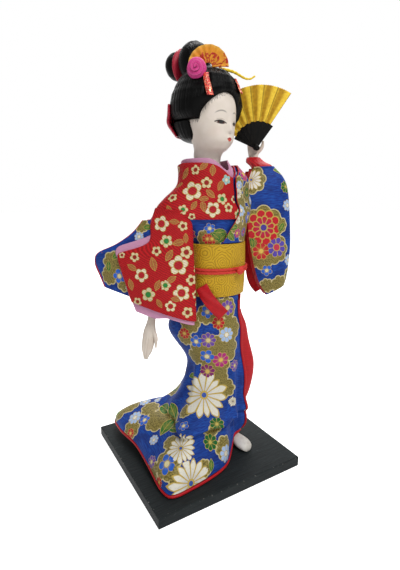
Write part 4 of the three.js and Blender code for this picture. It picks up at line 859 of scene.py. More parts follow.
def skirt_point(turn, share, offset):
    """An ellipse grown by offset, flare towards the hem, hanging folds and a bulge over the hip."""
    turn, share, offset = np.broadcast_arrays(*(np.asarray(v, float) for v in (turn, share, offset)))
    z, flare, fall, x, y, a, b = np.moveaxis(through(SKIRT, share), -1, 0)
    reach = hem_reach(turn)
    folds = 2.2 * 4 * flare * (1 - flare) * np.cos(np.radians(9 * turn)) * soft_step(reach, 24, 50)
    bulge = 11 * bump_at(apart(turn, 136), 0, 36) * bump_at(z, 96, 15)
    grow = offset + flare * np.maximum(0, reach - SKIRT_OUT - KNEE[2]) + folds + bulge
    lift = hem_lift(turn)
    edge = between(5, 14, np.maximum(0, np.cos(np.radians(apart(turn, 145)))) ** 2) + lift
    height = np.where(fall < 1, between(edge, z, np.maximum(fall, -HEM_TUCK)), z)
    t = np.radians(turn)
    return np.stack([x + (a + grow) * np.cos(t), y + (b + grow) * np.sin(t),
                     np.maximum(height, 3.1 + lift)], axis=-1)


def front_edge(share):
    """The angle of the skirt's front edge, which swings a little forward on its way down."""
    return between(284, 291, soft_step(share, 0, 0.5))


FOLD_OUT, FOLD_UP = 12.0, 4.0


def skirt_cloth(column, share, offset=SKIRT_OUT):
    """The skirt with columns from 0 at its far edge to 1 at its front edge, with small draped folds
    and one deep fold that hangs over the train."""
    column, share = np.broadcast_arrays(np.asarray(column, float), np.asarray(share, float))
    turn = between(-28, front_edge(share), column)
    ridge = 1.1 * np.sin(np.radians(turn * 7 + 260 * share)) * soft_step(share, 0.25, 0.5)
    ridge = ridge * (1 - soft_step(share, 0.9, 1.0))
    sag = 0.9 * np.sin(share * 34 + np.radians(turn * 2.2)) * bump_at(share, 0.62, 0.14)
    hang = soft_step(share, 0.28, 0.45) * (1 - soft_step(share, 0.85, 1.0))
    pleats = 3.2 * bump_at(turn, 257, 6) + 2.4 * soft_step(turn, 275, 285)
    pleats = pleats + 3.0 * bump_at(turn, 186, 8) * (1 - soft_step(share, 0.5, 0.65))
    point = skirt_point(turn, share, offset + ridge + sag + pleats * hang)
    low = share + 0.015 * np.sin(np.radians(turn * 3))
    over = soft_step(low, 0.5, 0.655) * (1 - soft_step(low, 0.66, 0.705)) * bump_at(apart(turn, 212), 0, 44)
    t = np.radians(turn)
    out = FOLD_OUT * over
    return point + np.stack([out * np.cos(t), out * np.sin(t), FOLD_UP * over], axis=-1)


columns = np.linspace(0, 1, 300)[None]
shares = np.linspace(0, 1, 150)[:, None]
skirt = panel("skirt_cloth", skirt_cloth(columns, shares), skirt_cloth(columns, shares, SKIRT_IN),
              [BLUE_SILK, RED_SATIN])
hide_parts("skirt")

# %% Skirt padding
pad_turns = np.arange(0, 360, 3.0)[None]
pad_shares = np.linspace(0.25, 1, 60)[::-1, None]
pad_rings = skirt_point(pad_turns, pad_shares, -1.0)
padding = round_body("skirt_stuffing", pad_rings, [COTTON])
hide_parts("skirt_padding")

# %% [markdown]
# ## Front panel, front band and hem
#
# A red satin panel fills the skirt's front opening, a red band edges the skirt, and a thin padded
# roll runs under the whole hem.

# %% Red front pieces
def panel_point(turn, share, offset):
    """The skirt surface with a swell over the knees in the opening, and upright folds in the satin."""
    turn, share = np.broadcast_arrays(turn, share)
    inside = soft_step(turn, 293, 312) * (1 - soft_step(turn, 312, 330))
    down = (share - 1 / 12) / (7 / 12)
    swell = 9 * inside * np.sin(np.pi * np.clip(down, 0, 1) ** 1.3)
    pleats = 0.7 * np.sin(np.radians(turn * 13 + 120 * share)) * inside
    return skirt_point(turn, share, offset + swell + pleats)


panel_turns = np.linspace(279, 340, 90)[None]
panel_shares = np.linspace(1 / 12, 8 / 12, 90)[:, None]
front_panel = panel("front_panel", panel_point(panel_turns, panel_shares, 1.1),
                    panel_point(panel_turns, panel_shares, 0.3), [RED_SATIN])
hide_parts("under_panel")

BAND_WIDTH = 0.012


def band_point(across, share, offset):
    """A band along the skirt's front edge, rolled over it, and narrower towards the hem."""
    width = BAND_WIDTH * (1 - 0.5 * soft_step(share, 0.6, 1))
    roll = 0.9 * np.sin(np.pi * across)
    return skirt_cloth(1 + width * (across - 0.75), share, SKIRT_OUT + offset + roll)


band_across, band_shares = np.linspace(0, 1, 12)[None], np.linspace(0.03, 0.97, 120)[:, None]
band = panel("front_band", band_point(band_across, band_shares, 0.7),
             band_point(band_across, band_shares, 0.15), [RED_SATIN])

HEM_ROLL = 1.1
hem_columns = np.linspace(0, 1, 200)
hem_path = skirt_cloth(hem_columns, np.ones(200), 1.9) - np.array([0, 0, 1.7])
hem_size = np.full(200, HEM_ROLL)
hem = round_body("hem_roll", tube_rings(hem_path, hem_size, hem_size, (0, 0, 1), 14), [RED_SATIN])
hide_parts("hem_piping")

# %% [markdown]
# ## Kimono, robe and collar
#
# The kimono's body is closed round the form, its left front laps over the right one, and the red
# robe slips off the left shoulder. Their top edges dip in front, where the pink collar shows.

# %% Upper garments
FORM_TOP = 199.5
FRONT = 272
BODICE_HEM, ROBE_HEM, LAPEL_HEM = 123.5, 176, 159.6


def collar_top(turn):
    """The neckline's height: a dip in front and a shallow one at the nape."""
    nape = np.maximum(0, np.sin(np.radians(turn))) ** 2
    return 214.5 - 8 * bump_at(apart(turn, FRONT), 0, 20) - 4 * nape


def garment_point(turn, row, offset, drop=0.0):
    """The body surface with soft creases; a row is a hem's height and a share of the way up from it
    to the neckline, which lies lower by the drop."""
    hem_height, share = row
    low = drop * (0.3 + 0.7 * bump_at(apart(turn, FRONT), 0, 40))
    z = between(hem_height, collar_top(turn) - low, share)
    crease = 0.35 * np.sin(z * 0.55 + np.radians(turn * 3)) * bump_at(z, 186, 14)
    return body_point(turn, z, offset + crease)


upper = np.linspace(0, 1, 70)[:, None]
turns = np.linspace(0, 360, 200, endpoint=False)[None]
bodice = panel("kimono_body", garment_point(turns, (BODICE_HEM, upper), 1.3, 3),
               garment_point(turns, (BODICE_HEM, upper), 0.3, 3), [BLUE_SILK, RED_SATIN], around=True)
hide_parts("bodice")


def robe_point(column, share, offset):
    """The robe from its back edge at 100 degrees round the right shoulder to its front edge."""
    return garment_point(between(100, FRONT, column), (ROBE_HEM, share), offset, 2.8)


robe_columns, robe_shares = np.linspace(0, 1, 160)[None], np.linspace(0, 1, 80)[:, None]
robe = panel("robe", robe_point(robe_columns, robe_shares, 2.6),
             robe_point(robe_columns, robe_shares, 1.6), [RED_CREPE, RED_SATIN])
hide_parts("red_robe")


def lapel_edge(share):
    """The lapel's edge swings from the right hip, low down, to the neck."""
    return between(213, 275, soft_step(between(LAPEL_HEM, 216, share), 129, 197.5))


def lapel_point(column, share, offset):
    """The left front, from its lapped edge round the left side."""
    return garment_point(between(lapel_edge(share), 372, column), (LAPEL_HEM, share), offset, 2.4)


lapel_columns, lapel_shares = np.linspace(0, 1, 130)[None], np.linspace(0, 1, 70)[:, None]
lapel = panel("lapel", lapel_point(lapel_columns, lapel_shares, 4.2),
              lapel_point(lapel_columns, lapel_shares, 3.2), [BLUE_SILK, RED_SATIN])
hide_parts("front_lapel")


def pink_point(turn, share, offset):
    """The under-collar stands a little higher than the neckline and rolls outwards at its edge."""
    z = between(199.8, collar_top(turn) + 2.2, share)
    return body_point(turn, z, offset + 0.5 * share ** 3)


collar_shares = np.linspace(0, 1, 40)[:, None]
collar = panel("under_collar", pink_point(turns, collar_shares, -0.9),
               pink_point(turns, collar_shares, -1.7), [PINK_SILK], around=True)
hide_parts("pink_collar")

# %% [markdown]
# ## The sash, its cord and the bow
#
# The sash is a stiff, wide gold band. A double cord holds it, tied in a flat knot in front, and
# its ends are folded into a bow at the back. A short red end shows at the right hip.

# %% Sash and cord
def sash_point(turn, share, offset):
    """A wide band that bulges slightly between its edges."""
    return body_point(turn, between(121.5, 159, share), offset + 0.5 * np.sin(np.pi * share))


sash_shares = np.linspace(0, 1, 50)[:, None]
sash = panel("sash", sash_point(turns, sash_shares, 4.6), sash_point(turns, sash_shares, 2.9),
             [GOLD_WEAVE], around=True)
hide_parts("obi")

CORD_STEPS, CORD_SIDES = 240, 16
CORD_HEIGHT, CORD_APART = 140.25, 1.1
for strand, height in (("upper", CORD_HEIGHT + CORD_APART), ("lower", CORD_HEIGHT - CORD_APART)):
    cord_turn = np.linspace(0, 360, CORD_STEPS, endpoint=False)
    cord_around = np.linspace(0, 2 * np.pi, CORD_SIDES, endpoint=False)[:, None]
    twist = 0.12 * np.sin(3 * cord_around + np.radians(cord_turn * 45))
    ring = body_point(cord_turn[None], height + (1 + twist) * np.sin(cord_around),
                      6.1 + (0.75 + twist) * np.cos(cord_around))
    k, c = (g.ravel() for g in np.meshgrid(np.arange(CORD_SIDES), np.arange(CORD_STEPS), indexing="ij"))
    here, there, ahead = k * CORD_STEPS, (k + 1) % CORD_SIDES * CORD_STEPS, (c + 1) % CORD_STEPS
    ring_faces = np.stack([here + c, here + ahead, there + ahead, there + c], axis=-1)
    ring_uv = np.stack([np.stack([c + i, k + j], -1) for i, j in ((0, 0), (1, 0), (1, 1), (0, 1))], axis=1)
    cord = build(f"sash_cord_{strand}", on_board(ring.reshape(-1, 3)), [ring_faces], "doll", [CORD_RED],
                 ring_uv.reshape(-1, 2) * 0.5)
    if strand == "upper":
        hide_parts("obi_cord")

# %% Knot
def knot_rings(rows=40, sides=48):
    """A pillow with a crossing groove: an ellipsoid whose depth dips along two slanted lines."""
    rise = np.linspace(-np.pi / 2 + 0.02, np.pi / 2 - 0.02, rows)[:, None]
    turn = np.linspace(0, 2 * np.pi, sides, endpoint=False)[None]
    x, z = 3.6 * np.cos(rise) * np.cos(turn), 3.0 * np.sin(rise) + 0 * turn
    groove = bump_at(x - 0.5 * z, 0.8, 0.5) + bump_at(x + 0.6 * z, -0.9, 0.5)
    y = 1.9 * np.cos(rise) * np.sin(turn) * (1 - 0.25 * groove)
    return np.stack([x, y, z], axis=-1)


CORD_OUT = 6.8
knot_front = body_point(270, CORD_HEIGHT, CORD_OUT)[1]
knot = round_body("cord_knot", knot_rings() + np.array([0, knot_front - 1.8, CORD_HEIGHT]), [CORD_RED])
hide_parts("obi_knot")

# %% Bow at the back
BOW_HALF_WIDTH, BOW_DEPTH = 17.0, 11.0
BOW_LOW, BOW_HIGH = 125.5, 160.0
bow_back = body_point(90, CORD_HEIGHT, CORD_OUT)[1]


def bow_point(across, around, offset):
    """A flat drum of folded cloth: a rounded band carried across, pinched in the middle."""
    x = between(-BOW_HALF_WIDTH, BOW_HALF_WIDTH, across)
    waist = bump_at(x, 0, 7)
    depth = BOW_DEPTH / 2 * (1 - 0.18 * waist + 0.03 * np.cos(x * 1.1)) + offset
    tall = (BOW_HIGH - BOW_LOW) / 2 * (1 - 0.04 * waist) + offset
    t = around * 2 * np.pi
    power = 0.55
    y = bow_back + BOW_DEPTH / 2 + depth * np.sign(np.cos(t)) * np.abs(np.cos(t)) ** power
    z = (BOW_LOW + BOW_HIGH) / 2 + tall * np.sign(np.sin(t)) * np.abs(np.sin(t)) ** power
    return np.stack(np.broadcast_arrays(x, y, z), axis=-1)


bow_across, bow_around = np.linspace(0, 1, 60)[:, None], np.linspace(0, 1, 96, endpoint=False)[None]
bow_rings = np.concatenate([bow_point(bow_across[:1], bow_around, -3.0),
                            bow_point(bow_across, bow_around, -0.3),
                            bow_point(bow_across[-1:], bow_around, -3.0)])
bow = round_body("sash_bow", bow_rings, [GOLD_WEAVE])
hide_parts("obi_bow")

# %% Short sash end
sash_share = np.linspace(0, 1, 4)
sash_way = body_point(between(197, 237, sash_share), 129.5 - 19 * sash_share, 5.3 + 6.5 * sash_share)
END_OUT, END_WIDTH = np.array([-0.75, -0.66, 0.0]), 9


def end_point(across, along, offset):
    """A strip along its path, cupped across and crumpled a little."""
    path = route(sash_way, 61)
    ahead = np.gradient(path, axis=0)
    side = np.cross(ahead, END_OUT)
    side /= np.linalg.norm(side, axis=1, keepdims=True)
    cup = offset + 0.5 * np.sin(np.pi * across) + 0.25 * np.sin(9 * across + 8 * along)
    wide = END_WIDTH * (across - 0.5)
    return path[:, None] + wide[..., None] * side[:, None] + cup[..., None] * END_OUT


end_across, end_along = np.linspace(0, 1, 31)[None], np.linspace(0, 1, 61)[:, None]
sash_end = panel("red_sash_end", end_point(end_across + 0 * end_along, end_along, 1.0),
                 end_point(end_across + 0 * end_along, end_along, 0.2), [RED_SATIN])
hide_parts("sash_end")

# %% [markdown]
# ## The hanging sleeves
#
# A sleeve is a long sheet folded in two that hangs from the arm, open along one edge. Fold and open
# edge are given as outlines in the sleeve's own upright plane; the cloth turns round the fold. The
# linings are the same surface set further in, and run on past the edge where they show.

# %% Sleeve surface
OPEN_ANGLE = 112.0
SLEEVE_HALF_DEPTH = 9.0


def outline(rows):
    """Outline points (distance along the plane, height) from drops below the shoulder."""
    return [(e, FORM_TOP - down) for e, down in rows]


RIGHT_SLEEVE = {
    "origin": np.array([-29.5, -6, 0.0]), "along": np.array([-0.52, 0.854, 0]),
    "out": np.array([-0.854, -0.52, 0]),
    "middle": lambda row: 4 * soft_step(row, 0.4, 0.9) - 6 * (1 - soft_step(row, 0, 0.36)),
    "fold": outline([(4, 17.5), (1.5, 35.5), (0, 54.5), (-1.2, 73.5), (-2.2, 92.5), (-2.5, 102.5)]),
    "edge": outline([(27, 15.5), (38, 29.5), (47, 40), (52, 48), (49.5, 58), (46, 68), (43, 77), (40, 84),
                     (37, 91.5)]),
}
LEFT_SLEEVE = {
    "origin": np.zeros(3), "along": np.array([0.7071, -0.7071, 0]), "out": np.array([-0.7071, -0.7071, 0]),
    "middle": lambda row: between(-20, -15, row) - 5 * (1 - soft_step(row, 0, 0.3)),
    "fold": outline([(44, -14.5), (53.5, 0.5), (57.5, 39.5), (56.5, 64.5), (54, 75.5)]),
    "edge": outline([(27, -13.5), (22, 4.5), (24.5, 39.5), (31.5, 69.5), (39, 82.5)]),
}


def sleeve_point(sleeve, turn, row, inset):
    """Round the fold: reach = fold to edge by (1 - cos turn), depth = half depth * sin turn."""
    turn, row, inset = np.broadcast_arrays(*(np.asarray(v, float) for v in (turn, row, inset)))
    fold, edge = through(sleeve["fold"], row), through(sleeve["edge"], row)
    share = (1 - np.cos(np.radians(turn))) / (1 - math.cos(math.radians(OPEN_ANGLE)))
    reach = between(fold[..., 0], edge[..., 0], share) + inset * np.sign(edge[..., 0] - fold[..., 0])
    drape = 0.9 * np.sin(row * 9 + np.radians(turn) * 1.7) * np.sin(np.radians(np.abs(turn)))
    rim = 1.3 * (1 - soft_step(row, 0.0, 0.05))
    depth = sleeve["middle"](row) + (SLEEVE_HALF_DEPTH - inset + rim) * np.sin(np.radians(turn)) + drape
    flat = sleeve["origin"] + reach[..., None] * sleeve["along"] + depth[..., None] * sleeve["out"]
    height = between(fold[..., 1], edge[..., 1], share)
    return np.concatenate([flat[..., :2], height[..., None]], axis=-1)


def sleeve_cloth(sleeve, column, row, edges, inset):
    """Columns from -1 to 1 go from the far open edge round the fold to the near one.

    Each edge is the share of the way from the fold to the outline at which the cloth ends there.
    The angle at a share is arccos(1 - share * (1 - cos of the open angle)).
    """
    near, far = edges
    share = np.where(np.asarray(column) > 0, near(np.asarray(row)), far(np.asarray(row)))
    angle = np.degrees(np.arccos(1 - share * (1 - math.cos(math.radians(OPEN_ANGLE)))))
    return sleeve_point(sleeve, column * angle, row, inset)


# %% Right sleeve in three layers
def to_edge(row):
    """The cloth ends at the outline."""
    return 1.0 + 0 * row


def red_near(row):
    """The red sheet's near edge hangs as a narrow panel, then steps out to the full width."""
    return between(0.92, 0.64, soft_step(row, 0, 0.22)) + 0.36 * soft_step(row, 0.22, 0.37)


def pink_near(row):
    """The lining steps out a little higher, so that a strip of it shows above the red."""
    narrow = between(0.92, 0.62, soft_step(row, 0, 0.15))
    return narrow + 0.43 * soft_step(row, 0.15, 0.29) - 0.08 * soft_step(row, 0.3, 0.45)


def blue_open(row):
    """The inner blue sleeve runs on past the red one where it shows most."""
    return 1 + 0.42 * soft_step(row, 0.12, 0.55)


sleeves = {}
WRIST_DROP = 0.07
CLOTH_WALL, LINING_WALL = 1.0, 0.8
LINING_INSET, INNER_INSET = 1.3, 2.7


def hang(sleeve, name, node, slot, finishes, span, edges, inset, wall, drop=0.0):
    """One layer of a sleeve over a span of rows; its lower edge drops by a share of rows at both ends."""
    top, bottom = span
    columns = np.linspace(-1, 1, 200)[None]
    low = bottom + drop * soft_step(np.abs(columns), 0.55, 0.8)
    rows = between(top, low, np.linspace(0, 1, 110)[:, None])
    front = sleeve_cloth(sleeve, columns, rows, edges, inset)
    back = sleeve_cloth(sleeve, columns, rows, edges, inset + wall)
    sleeves[name] = panel(name, front, back, finishes)
    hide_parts(node)


RED_EDGES, INNER_EDGES = (red_near, to_edge), (blue_open, blue_open)
hang(RIGHT_SLEEVE, "red_sleeve", "right_sleeve", "red_crepe", [RED_CREPE, RED_SATIN], (0, 0.8),
     RED_EDGES, 0, CLOTH_WALL)
hang(RIGHT_SLEEVE, "pink_lining", "right_sleeve_lining", "pink_silk", [PINK_SILK], (0.04, 0.84),
     (pink_near, to_edge), LINING_INSET, LINING_WALL, WRIST_DROP)
hang(RIGHT_SLEEVE, "blue_inner_sleeve", "right_inner_sleeve", "blue_brocade", [BLUE_SILK, RED_SATIN],
     (0.08, 0.74), INNER_EDGES, INNER_INSET, CLOTH_WALL)

# %% Left sleeve, lining and cuff
def lining_far(row):
    """The red lining shows past the far edge, most of all low down."""
    return 1.06 + 0.22 * soft_step(row, 0.5, 0.95)


BLUE_EDGES = (to_edge, to_edge)
hang(LEFT_SLEEVE, "blue_sleeve", "left_sleeve", "blue_brocade", [BLUE_SILK, RED_SATIN], (0, 1),
     BLUE_EDGES, 0, CLOTH_WALL)
hang(LEFT_SLEEVE, "red_lining", "left_sleeve_lining", "red_satin", [RED_SATIN], (0.05, 0.97),
     (to_edge, lining_far), LINING_INSET, LINING_WALL)

CUFF = [(209, 42.6, -8.5, 7, 6.4), (214.6, 44.3, -4.7, 9, 8), (218, 45.2, 1.6, 7.4, 7),
        (221.6, 46, 4.6, 5.4, 5.2)]


def cuff_point(turn, share, offset):
    """A gathered ring of satin round the wrist: ellipses with small puckers."""
    z, x, y, a, b = np.moveaxis(through(CUFF, share), -1, 0)
    grow = offset + 0.35 * np.sin(np.radians(turn * 14)) * np.sin(np.pi * share)
    t = np.radians(turn)
    return np.stack(np.broadcast_arrays(x + (a + grow) * np.cos(t), y + (b + grow) * np.sin(t), z), axis=-1)


cuff_turns = np.linspace(0, 360, 120, endpoint=False)[None]
cuff_shares = np.linspace(0, 1, 30)[:, None]
cuff = panel("cuff", cuff_point(cuff_turns, cuff_shares, 0.0),
             cuff_point(cuff_turns, cuff_shares, -0.8), [RED_SATIN], around=True)
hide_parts("left_cuff")

# %% [markdown]
# ## Hands and feet
#
# Hands are slim, with the fingers held together. Each is a tapered body along a path, whose cross
# section is drawn in between the fingers; the thumb is a small body of its own that merges with it.

# %% Hands
def hand_rings(path, widths, depths, side, fingers_from, turns=96):
    """Rings along the hand; past the palm, grooves at cos(4 pi cos turn) = 1 part four fingers."""
    rings = tube_rings(path, widths, depths, side, turns)
    share = np.linspace(0, 1, len(path))[:, None]
    turn = np.linspace(0, 2 * np.pi, turns, endpoint=False)[None]
    part = soft_step(share, fingers_from, fingers_from + 0.15)
    groove = 0.16 * part * (0.5 + 0.5 * np.cos(4 * np.pi * np.cos(turn))) * np.abs(np.sin(turn))
    centre = np.asarray(path)[:, None]
    return centre + (rings - centre) * (1 - groove)[..., None]


RIGHT_WRIST, RIGHT_TIP = np.array([-47.3, 19.2, 108.0]), np.array([-51.8, 22.6, 75.5])
HAND_SIDE = (-0.6, 0.8, 0.0)
HAND_SIZES = [(2.8, 2.8), (2.7, 2.7), (3.1, 2.5), (4.5, 2.4), (4.6, 2.1), (4.0, 1.9), (1.6, 1.0)]
palm_path = route([between(RIGHT_WRIST, RIGHT_TIP, s) for s in (-0.28, 0.35, 1.0)], 60)
palm_sizes = through(HAND_SIZES, np.linspace(0, 1, 60))
right_rings = hand_rings(palm_path, *palm_sizes.T, HAND_SIDE, 0.5)
right_hand = round_body("right_palm", right_rings, [SKIN], body="right_hand")
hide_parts("right_hand")
thumb_path = route([(-48.2, 18.6, 99), (-47.4, 15.8, 93), (-47.8, 15.2, 85)], 40)
thumb_size = through([(1.6,), (1.5,), (0.7,)], np.linspace(0, 1, 40))[:, 0]
thumb_rings = tube_rings(thumb_path, thumb_size, thumb_size, HAND_SIDE)
thumb = round_body("right_thumb", thumb_rings, [SKIN], body="right_hand")

PALM_DEPTH = -9.21
left_path = route([(-2.2, -11, PALM_DEPTH + 3), (-2.4, -3, PALM_DEPTH), (-3.4, 5, PALM_DEPTH),
                   (-4, 11, PALM_DEPTH - 0.5)], 60)
left_sizes = through([(2.7, 2.7), (4.2, 2.3), (4.2, 2), (2.2, 1)], np.linspace(0, 1, 60))
left_rings = hand_rings(left_path, *left_sizes.T, (1, 0, 0), 0.45)
left_hand = round_body("left_palm", left_rings, [SKIN], place=on_fan)
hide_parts("left_hand")
thumb_path = route([(0.6, -4, PALM_DEPTH), (4.2, 0.5, PALM_DEPTH - 0.4), (5, 5, PALM_DEPTH - 0.4)], 40)
thumb_size = through([(1.6,), (1.5,), (0.8,)], np.linspace(0, 1, 40))[:, 0]
thumb_rings = tube_rings(thumb_path, thumb_size, thumb_size, (0, 0, 1))
left_thumb = round_body("left_thumb", thumb_rings, [SKIN], place=on_fan)

# %% Feet in split-toed socks
FOOT = [(0, 1.4, 0.15), (0.06, 3.8, 0.4), (0.35, 4.4, 0.47), (0.72, 6, 0.4), (0.93, 4.8, 0.3),
        (1, 2.4, 0.15)]
FOOT_HEIGHT, SOLE = 9, 0.3


def foot_rings(toe, heel, rows=60, sides=64):
    """Half-round sections from heel to toe, with a groove beside the big toe."""
    t, a, b = np.moveaxis(through(FOOT, np.linspace(0, 1, rows)), -1, 0)
    along = np.subtract(toe, heel)
    side = np.array([-along[1], along[0], 0]) / np.hypot(*along[:2])
    turn = np.linspace(0, 2 * np.pi, sides, endpoint=False)[None]
    toes = soft_step(t[:, None], 0.72, 0.9) * (np.sin(turn) > 0)
    split = 0.3 * bump_at(np.cos(turn), 0.25, 0.12) * toes
    height = SOLE + b[:, None] * FOOT_HEIGHT * (1 + np.sin(turn) * (1 - split))
    wide = a[:, None] * np.cos(turn)
    flat = np.asarray(heel, float) + t[:, None, None] * along + wide[..., None] * side
    return np.concatenate([flat[..., :2], height[..., None]], axis=-1)


FEET = [("left", (1.5, -33, 0), (4.5, -9, 0)), ("right", (-10.5, -22, 0), (-9.5, 2, 0))]
for side, toe, heel in FEET:
    foot = round_body(f"{side}_sock", foot_rings(toe, heel), [SOCK])
    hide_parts(f"{side}_foot")

# %% [markdown]
# ## The folding fan
#
# The lacquered sticks and the rivet are right as they come from CAD, so they only get a finish. The
# paper leaf is folded between the sticks.

# %% Fan leaf
FAN_STICKS, FAN_RADIUS, STICK_LENGTH = 8, 44.0, 18.8
FAN_FIRST, FAN_SPREAD, FAN_PITCH = math.radians(56), math.radians(97), 0.75
FAN_STEP = FAN_SPREAD / (FAN_STICKS - 1)
LEAF_IN, LEAF_MIDDLE = 18.0, 30


def leaf_point(first_turn, level, across, along, offset):
    """One strip: a ring sector that slopes from one stick to the next, with a ridge in its middle.

    Its inner end runs in between the two sticks, half way between their levels.
    """
    turn = first_turn + FAN_STEP * across
    reach = between(LEAF_IN, FAN_RADIUS + 0.15 * np.sin(12 * np.pi * across), along)
    slope = 0.6 * (0.5 - np.abs(across - 0.5)) - FAN_PITCH * across
    rise = soft_step(reach, STICK_LENGTH, STICK_LENGTH + 4)
    z = level + offset + between(-FAN_PITCH / 2, slope, rise)
    return np.stack(np.broadcast_arrays(reach * np.cos(turn), reach * np.sin(turn), z), axis=-1)


leaf_across, leaf_along = np.linspace(0, 1, 25)[None], np.linspace(0, 1, 40)[:, None]
for i in range(FAN_STICKS - 1):
    start, level = FAN_FIRST + i * FAN_STEP, -i * FAN_PITCH
    leaf = panel(f"leaf_strip_{i + 1}", leaf_point(start, level, leaf_across, leaf_along, 0.1),
                 leaf_point(start, level, leaf_across, leaf_along, -0.1), [FOIL], body=None, place=on_fan)
    fold = (leaf_across + 0 * leaf_along).ravel()
    set_attribute(leaf, "fold", "FLOAT", "POINT", np.concatenate([fold, fold]))
    turns = [start + share * FAN_STEP for share in (0.02, 0.98)]
    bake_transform(leaf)
    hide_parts(f"fan_leaf_{i + 1}")

# %% Finishes of the CAD nodes that show as they are
def give(node, finish):
    """Puts a finish on a CAD node."""
    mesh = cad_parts[node].data
    mesh.materials.clear()
    mesh.materials.append(finish)


for i in range(FAN_STICKS):
    give(f"fan_stick_{i + 1}", LACQUER)
give("fan_rivet", LACQUER)
STEEL_NODES = ("post_screw", "support_post", "head_peg", "right_arm_wire", "left_arm_wire")
for node in STEEL_NODES:
    give(node, STEEL)
give("base_board", BOARD)
print("CAD nodes that stay:", FAN_STICKS + len(STEEL_NODES) + 2)

# %% [markdown]
# ## The head
#
# The head is a painted, egg-shaped body on a slim neck. Nose, lips and eye hollows are soft bells
# added to it, so they stay part of one smooth surface. Eyes, brows and lips are painted on.

# %% Head surface
HEAD = [(-15.9, 0, 0, 9.4, 9.4), (-6, 0, 0, 9.4, 9.4), (1, 0, 0, 9.4, 9.6), (5, 0, -1, 9.6, 10.8),
        (7.5, 0, -3.5, 10.2, 13.2), (12, 0, -5, 12.4, 15.5), (18, 0, -2.5, 15.4, 18.2), (26, 0, 0, 18, 21),
        (36, 0, 0, 18, 20.5), (44, 0, 0, 15, 17), (50, 0, 0, 9, 11), (52, 0, 0, 1.5, 1.5)]


def head_rings(rows=150, sides=180):
    """Ellipses through the stations, with the face's bells added forwards where the head looks ahead."""
    z, x, y, a, b = (v[:, None] for v in np.moveaxis(through(HEAD, np.linspace(0, 1, rows)), -1, 0))
    turn = np.linspace(0, 2 * np.pi, sides, endpoint=False)[None]
    x, y = x + a * np.cos(turn), y + b * np.sin(turn)
    front = soft_step(-np.sin(turn), 0.35, 0.75)
    bridge = soft_step(z, 27, 18.4) * soft_step(z, 16.4, 17.8)
    nose = 2.3 * bump_at(x, 0, 1.9 + 0.04 * (26 - z)) * bridge
    lips = 0.55 * bump_at(x, 0, 3.2) * (bump_at(z, 13.5, 0.9) + bump_at(z, 11.6, 1.0))
    hollows = -0.6 * (bump_at(x, 7, 3.6) + bump_at(x, -7, 3.6)) * bump_at(z, 23, 3)
    chin = 0.7 * bump_at(x, 0, 4) * bump_at(z, 6.5, 2.2)
    y = y - front * (nose + lips + hollows + chin)
    return np.stack(np.broadcast_arrays(x, y, z), axis=-1)


# %% Face paint
def painted_face():
    """Skin with brows, eyes, lips and fine strands at the hairline, placed in the head's own frame."""
    finish, start, shader = new_finish("painted_face", Specular_IOR_Level=0.35)
    place = object_place(start, (1.0, 1.0, 1.0))
    mottle = noise(place, 0.16, 3.0)
    x, y, z = attribute(start, "face", "Vector").parts()
    ahead = y < -6.0
    wide = abs(x)
    skin = mottle.rise(0.3, 0.7).shows(dye("eaded2"), dye("e4d8ca"))
    blush = ((wide - 9.5) * 0.25).math("POWER", 2.0) + ((z - 17.0) * 0.25).math("POWER", 2.0)
    skin = (blush.rise(1.2, 0.0) * ahead * 0.06).shows(dye("d98a7e"), skin)
    arch = 29.9 - ((wide - 6.4) * (wide - 6.4)) * 0.09
    brow = abs(z - arch).rise(0.65, 0.2) * abs(wide - 6.8).rise(4.4, 2.2) * ahead
    colour = (brow * 0.55).shows(dye("453e3a"), skin)
    along = (wide - 6.7) / 3.5
    open_lid = (1.0 - along * along).math("MAXIMUM", 0.0)
    lid = 22.7 + 0.35 * along
    upper_lid, lower_lid = lid + 1.15 * open_lid, lid - 0.85 * open_lid
    white = (z < upper_lid) & (z > lower_lid)
    iris = ((wide - 6.5) * (wide - 6.5) + (z - 22.9) * (z - 22.9)).math("SQRT")
    eye = (iris < 2.3).shows((iris < 1.3).shows(dye("0d0a09"), dye("36190e")), dye("c9bdb0"))
    colour = (white & ahead).shows(eye, colour)
    lash = abs(z - upper_lid - 0.1).rise(0.5, 0.25) * abs(along).rise(1.14, 1.0)
    crease = abs(z - upper_lid - 1.15).rise(0.3, 0.1) * abs(along).rise(0.95, 0.6) * 0.4
    under = abs(z - lower_lid).rise(0.25, 0.1) * abs(along).rise(1.05, 0.8) * 0.6
    colour = ((crease | under) * ahead).shows(dye("6b5348"), colour)
    colour = (lash * ahead).shows(dye("140f0d"), colour)
    bow = 13.9 - 0.35 * abs(x).rise(0.7, 0.0) - x * x * 0.3
    upper = (z < bow) & (z > 12.7)
    lower = (z < 12.7) & (z > 11.2 + x * x * 0.3)
    reach = (wide < 2.3) & ahead
    # Both lips are painted red; the lower one lighter and more orange, as a painted highlight.
    colour = (upper & reach).shows(dye("b0302c"), colour)
    colour = (lower & reach).shows(dye("cc5340"), colour)
    colour = ((abs(z - 12.7).rise(0.2, 0.08)) * reach).shows(dye("6d1a1f"), colour)
    edge = (1.0 - (x * x) / 267.0).math("MAXIMUM", 0.0).math("SQRT") * 17.0 + 25.0
    strands = noise(object_place(start, (1.6, 1.6, 0.25)), 1.0, 2.0)
    below = edge - z
    wisps = (strands - below.rise(0.0, 4.5) * 0.3).rise(0.38, 0.5) * below.rise(5.0, 2.0)
    colour = (wisps * 0.55 * (z > 20.0)).shows(dye("2a2624"), colour)
    grain = noise(place, 3.0, 2.0)
    feed(shader, Base_Color=colour, Roughness=0.48 + 0.1 * mottle, Height=(grain, 0.00005))
    return finish


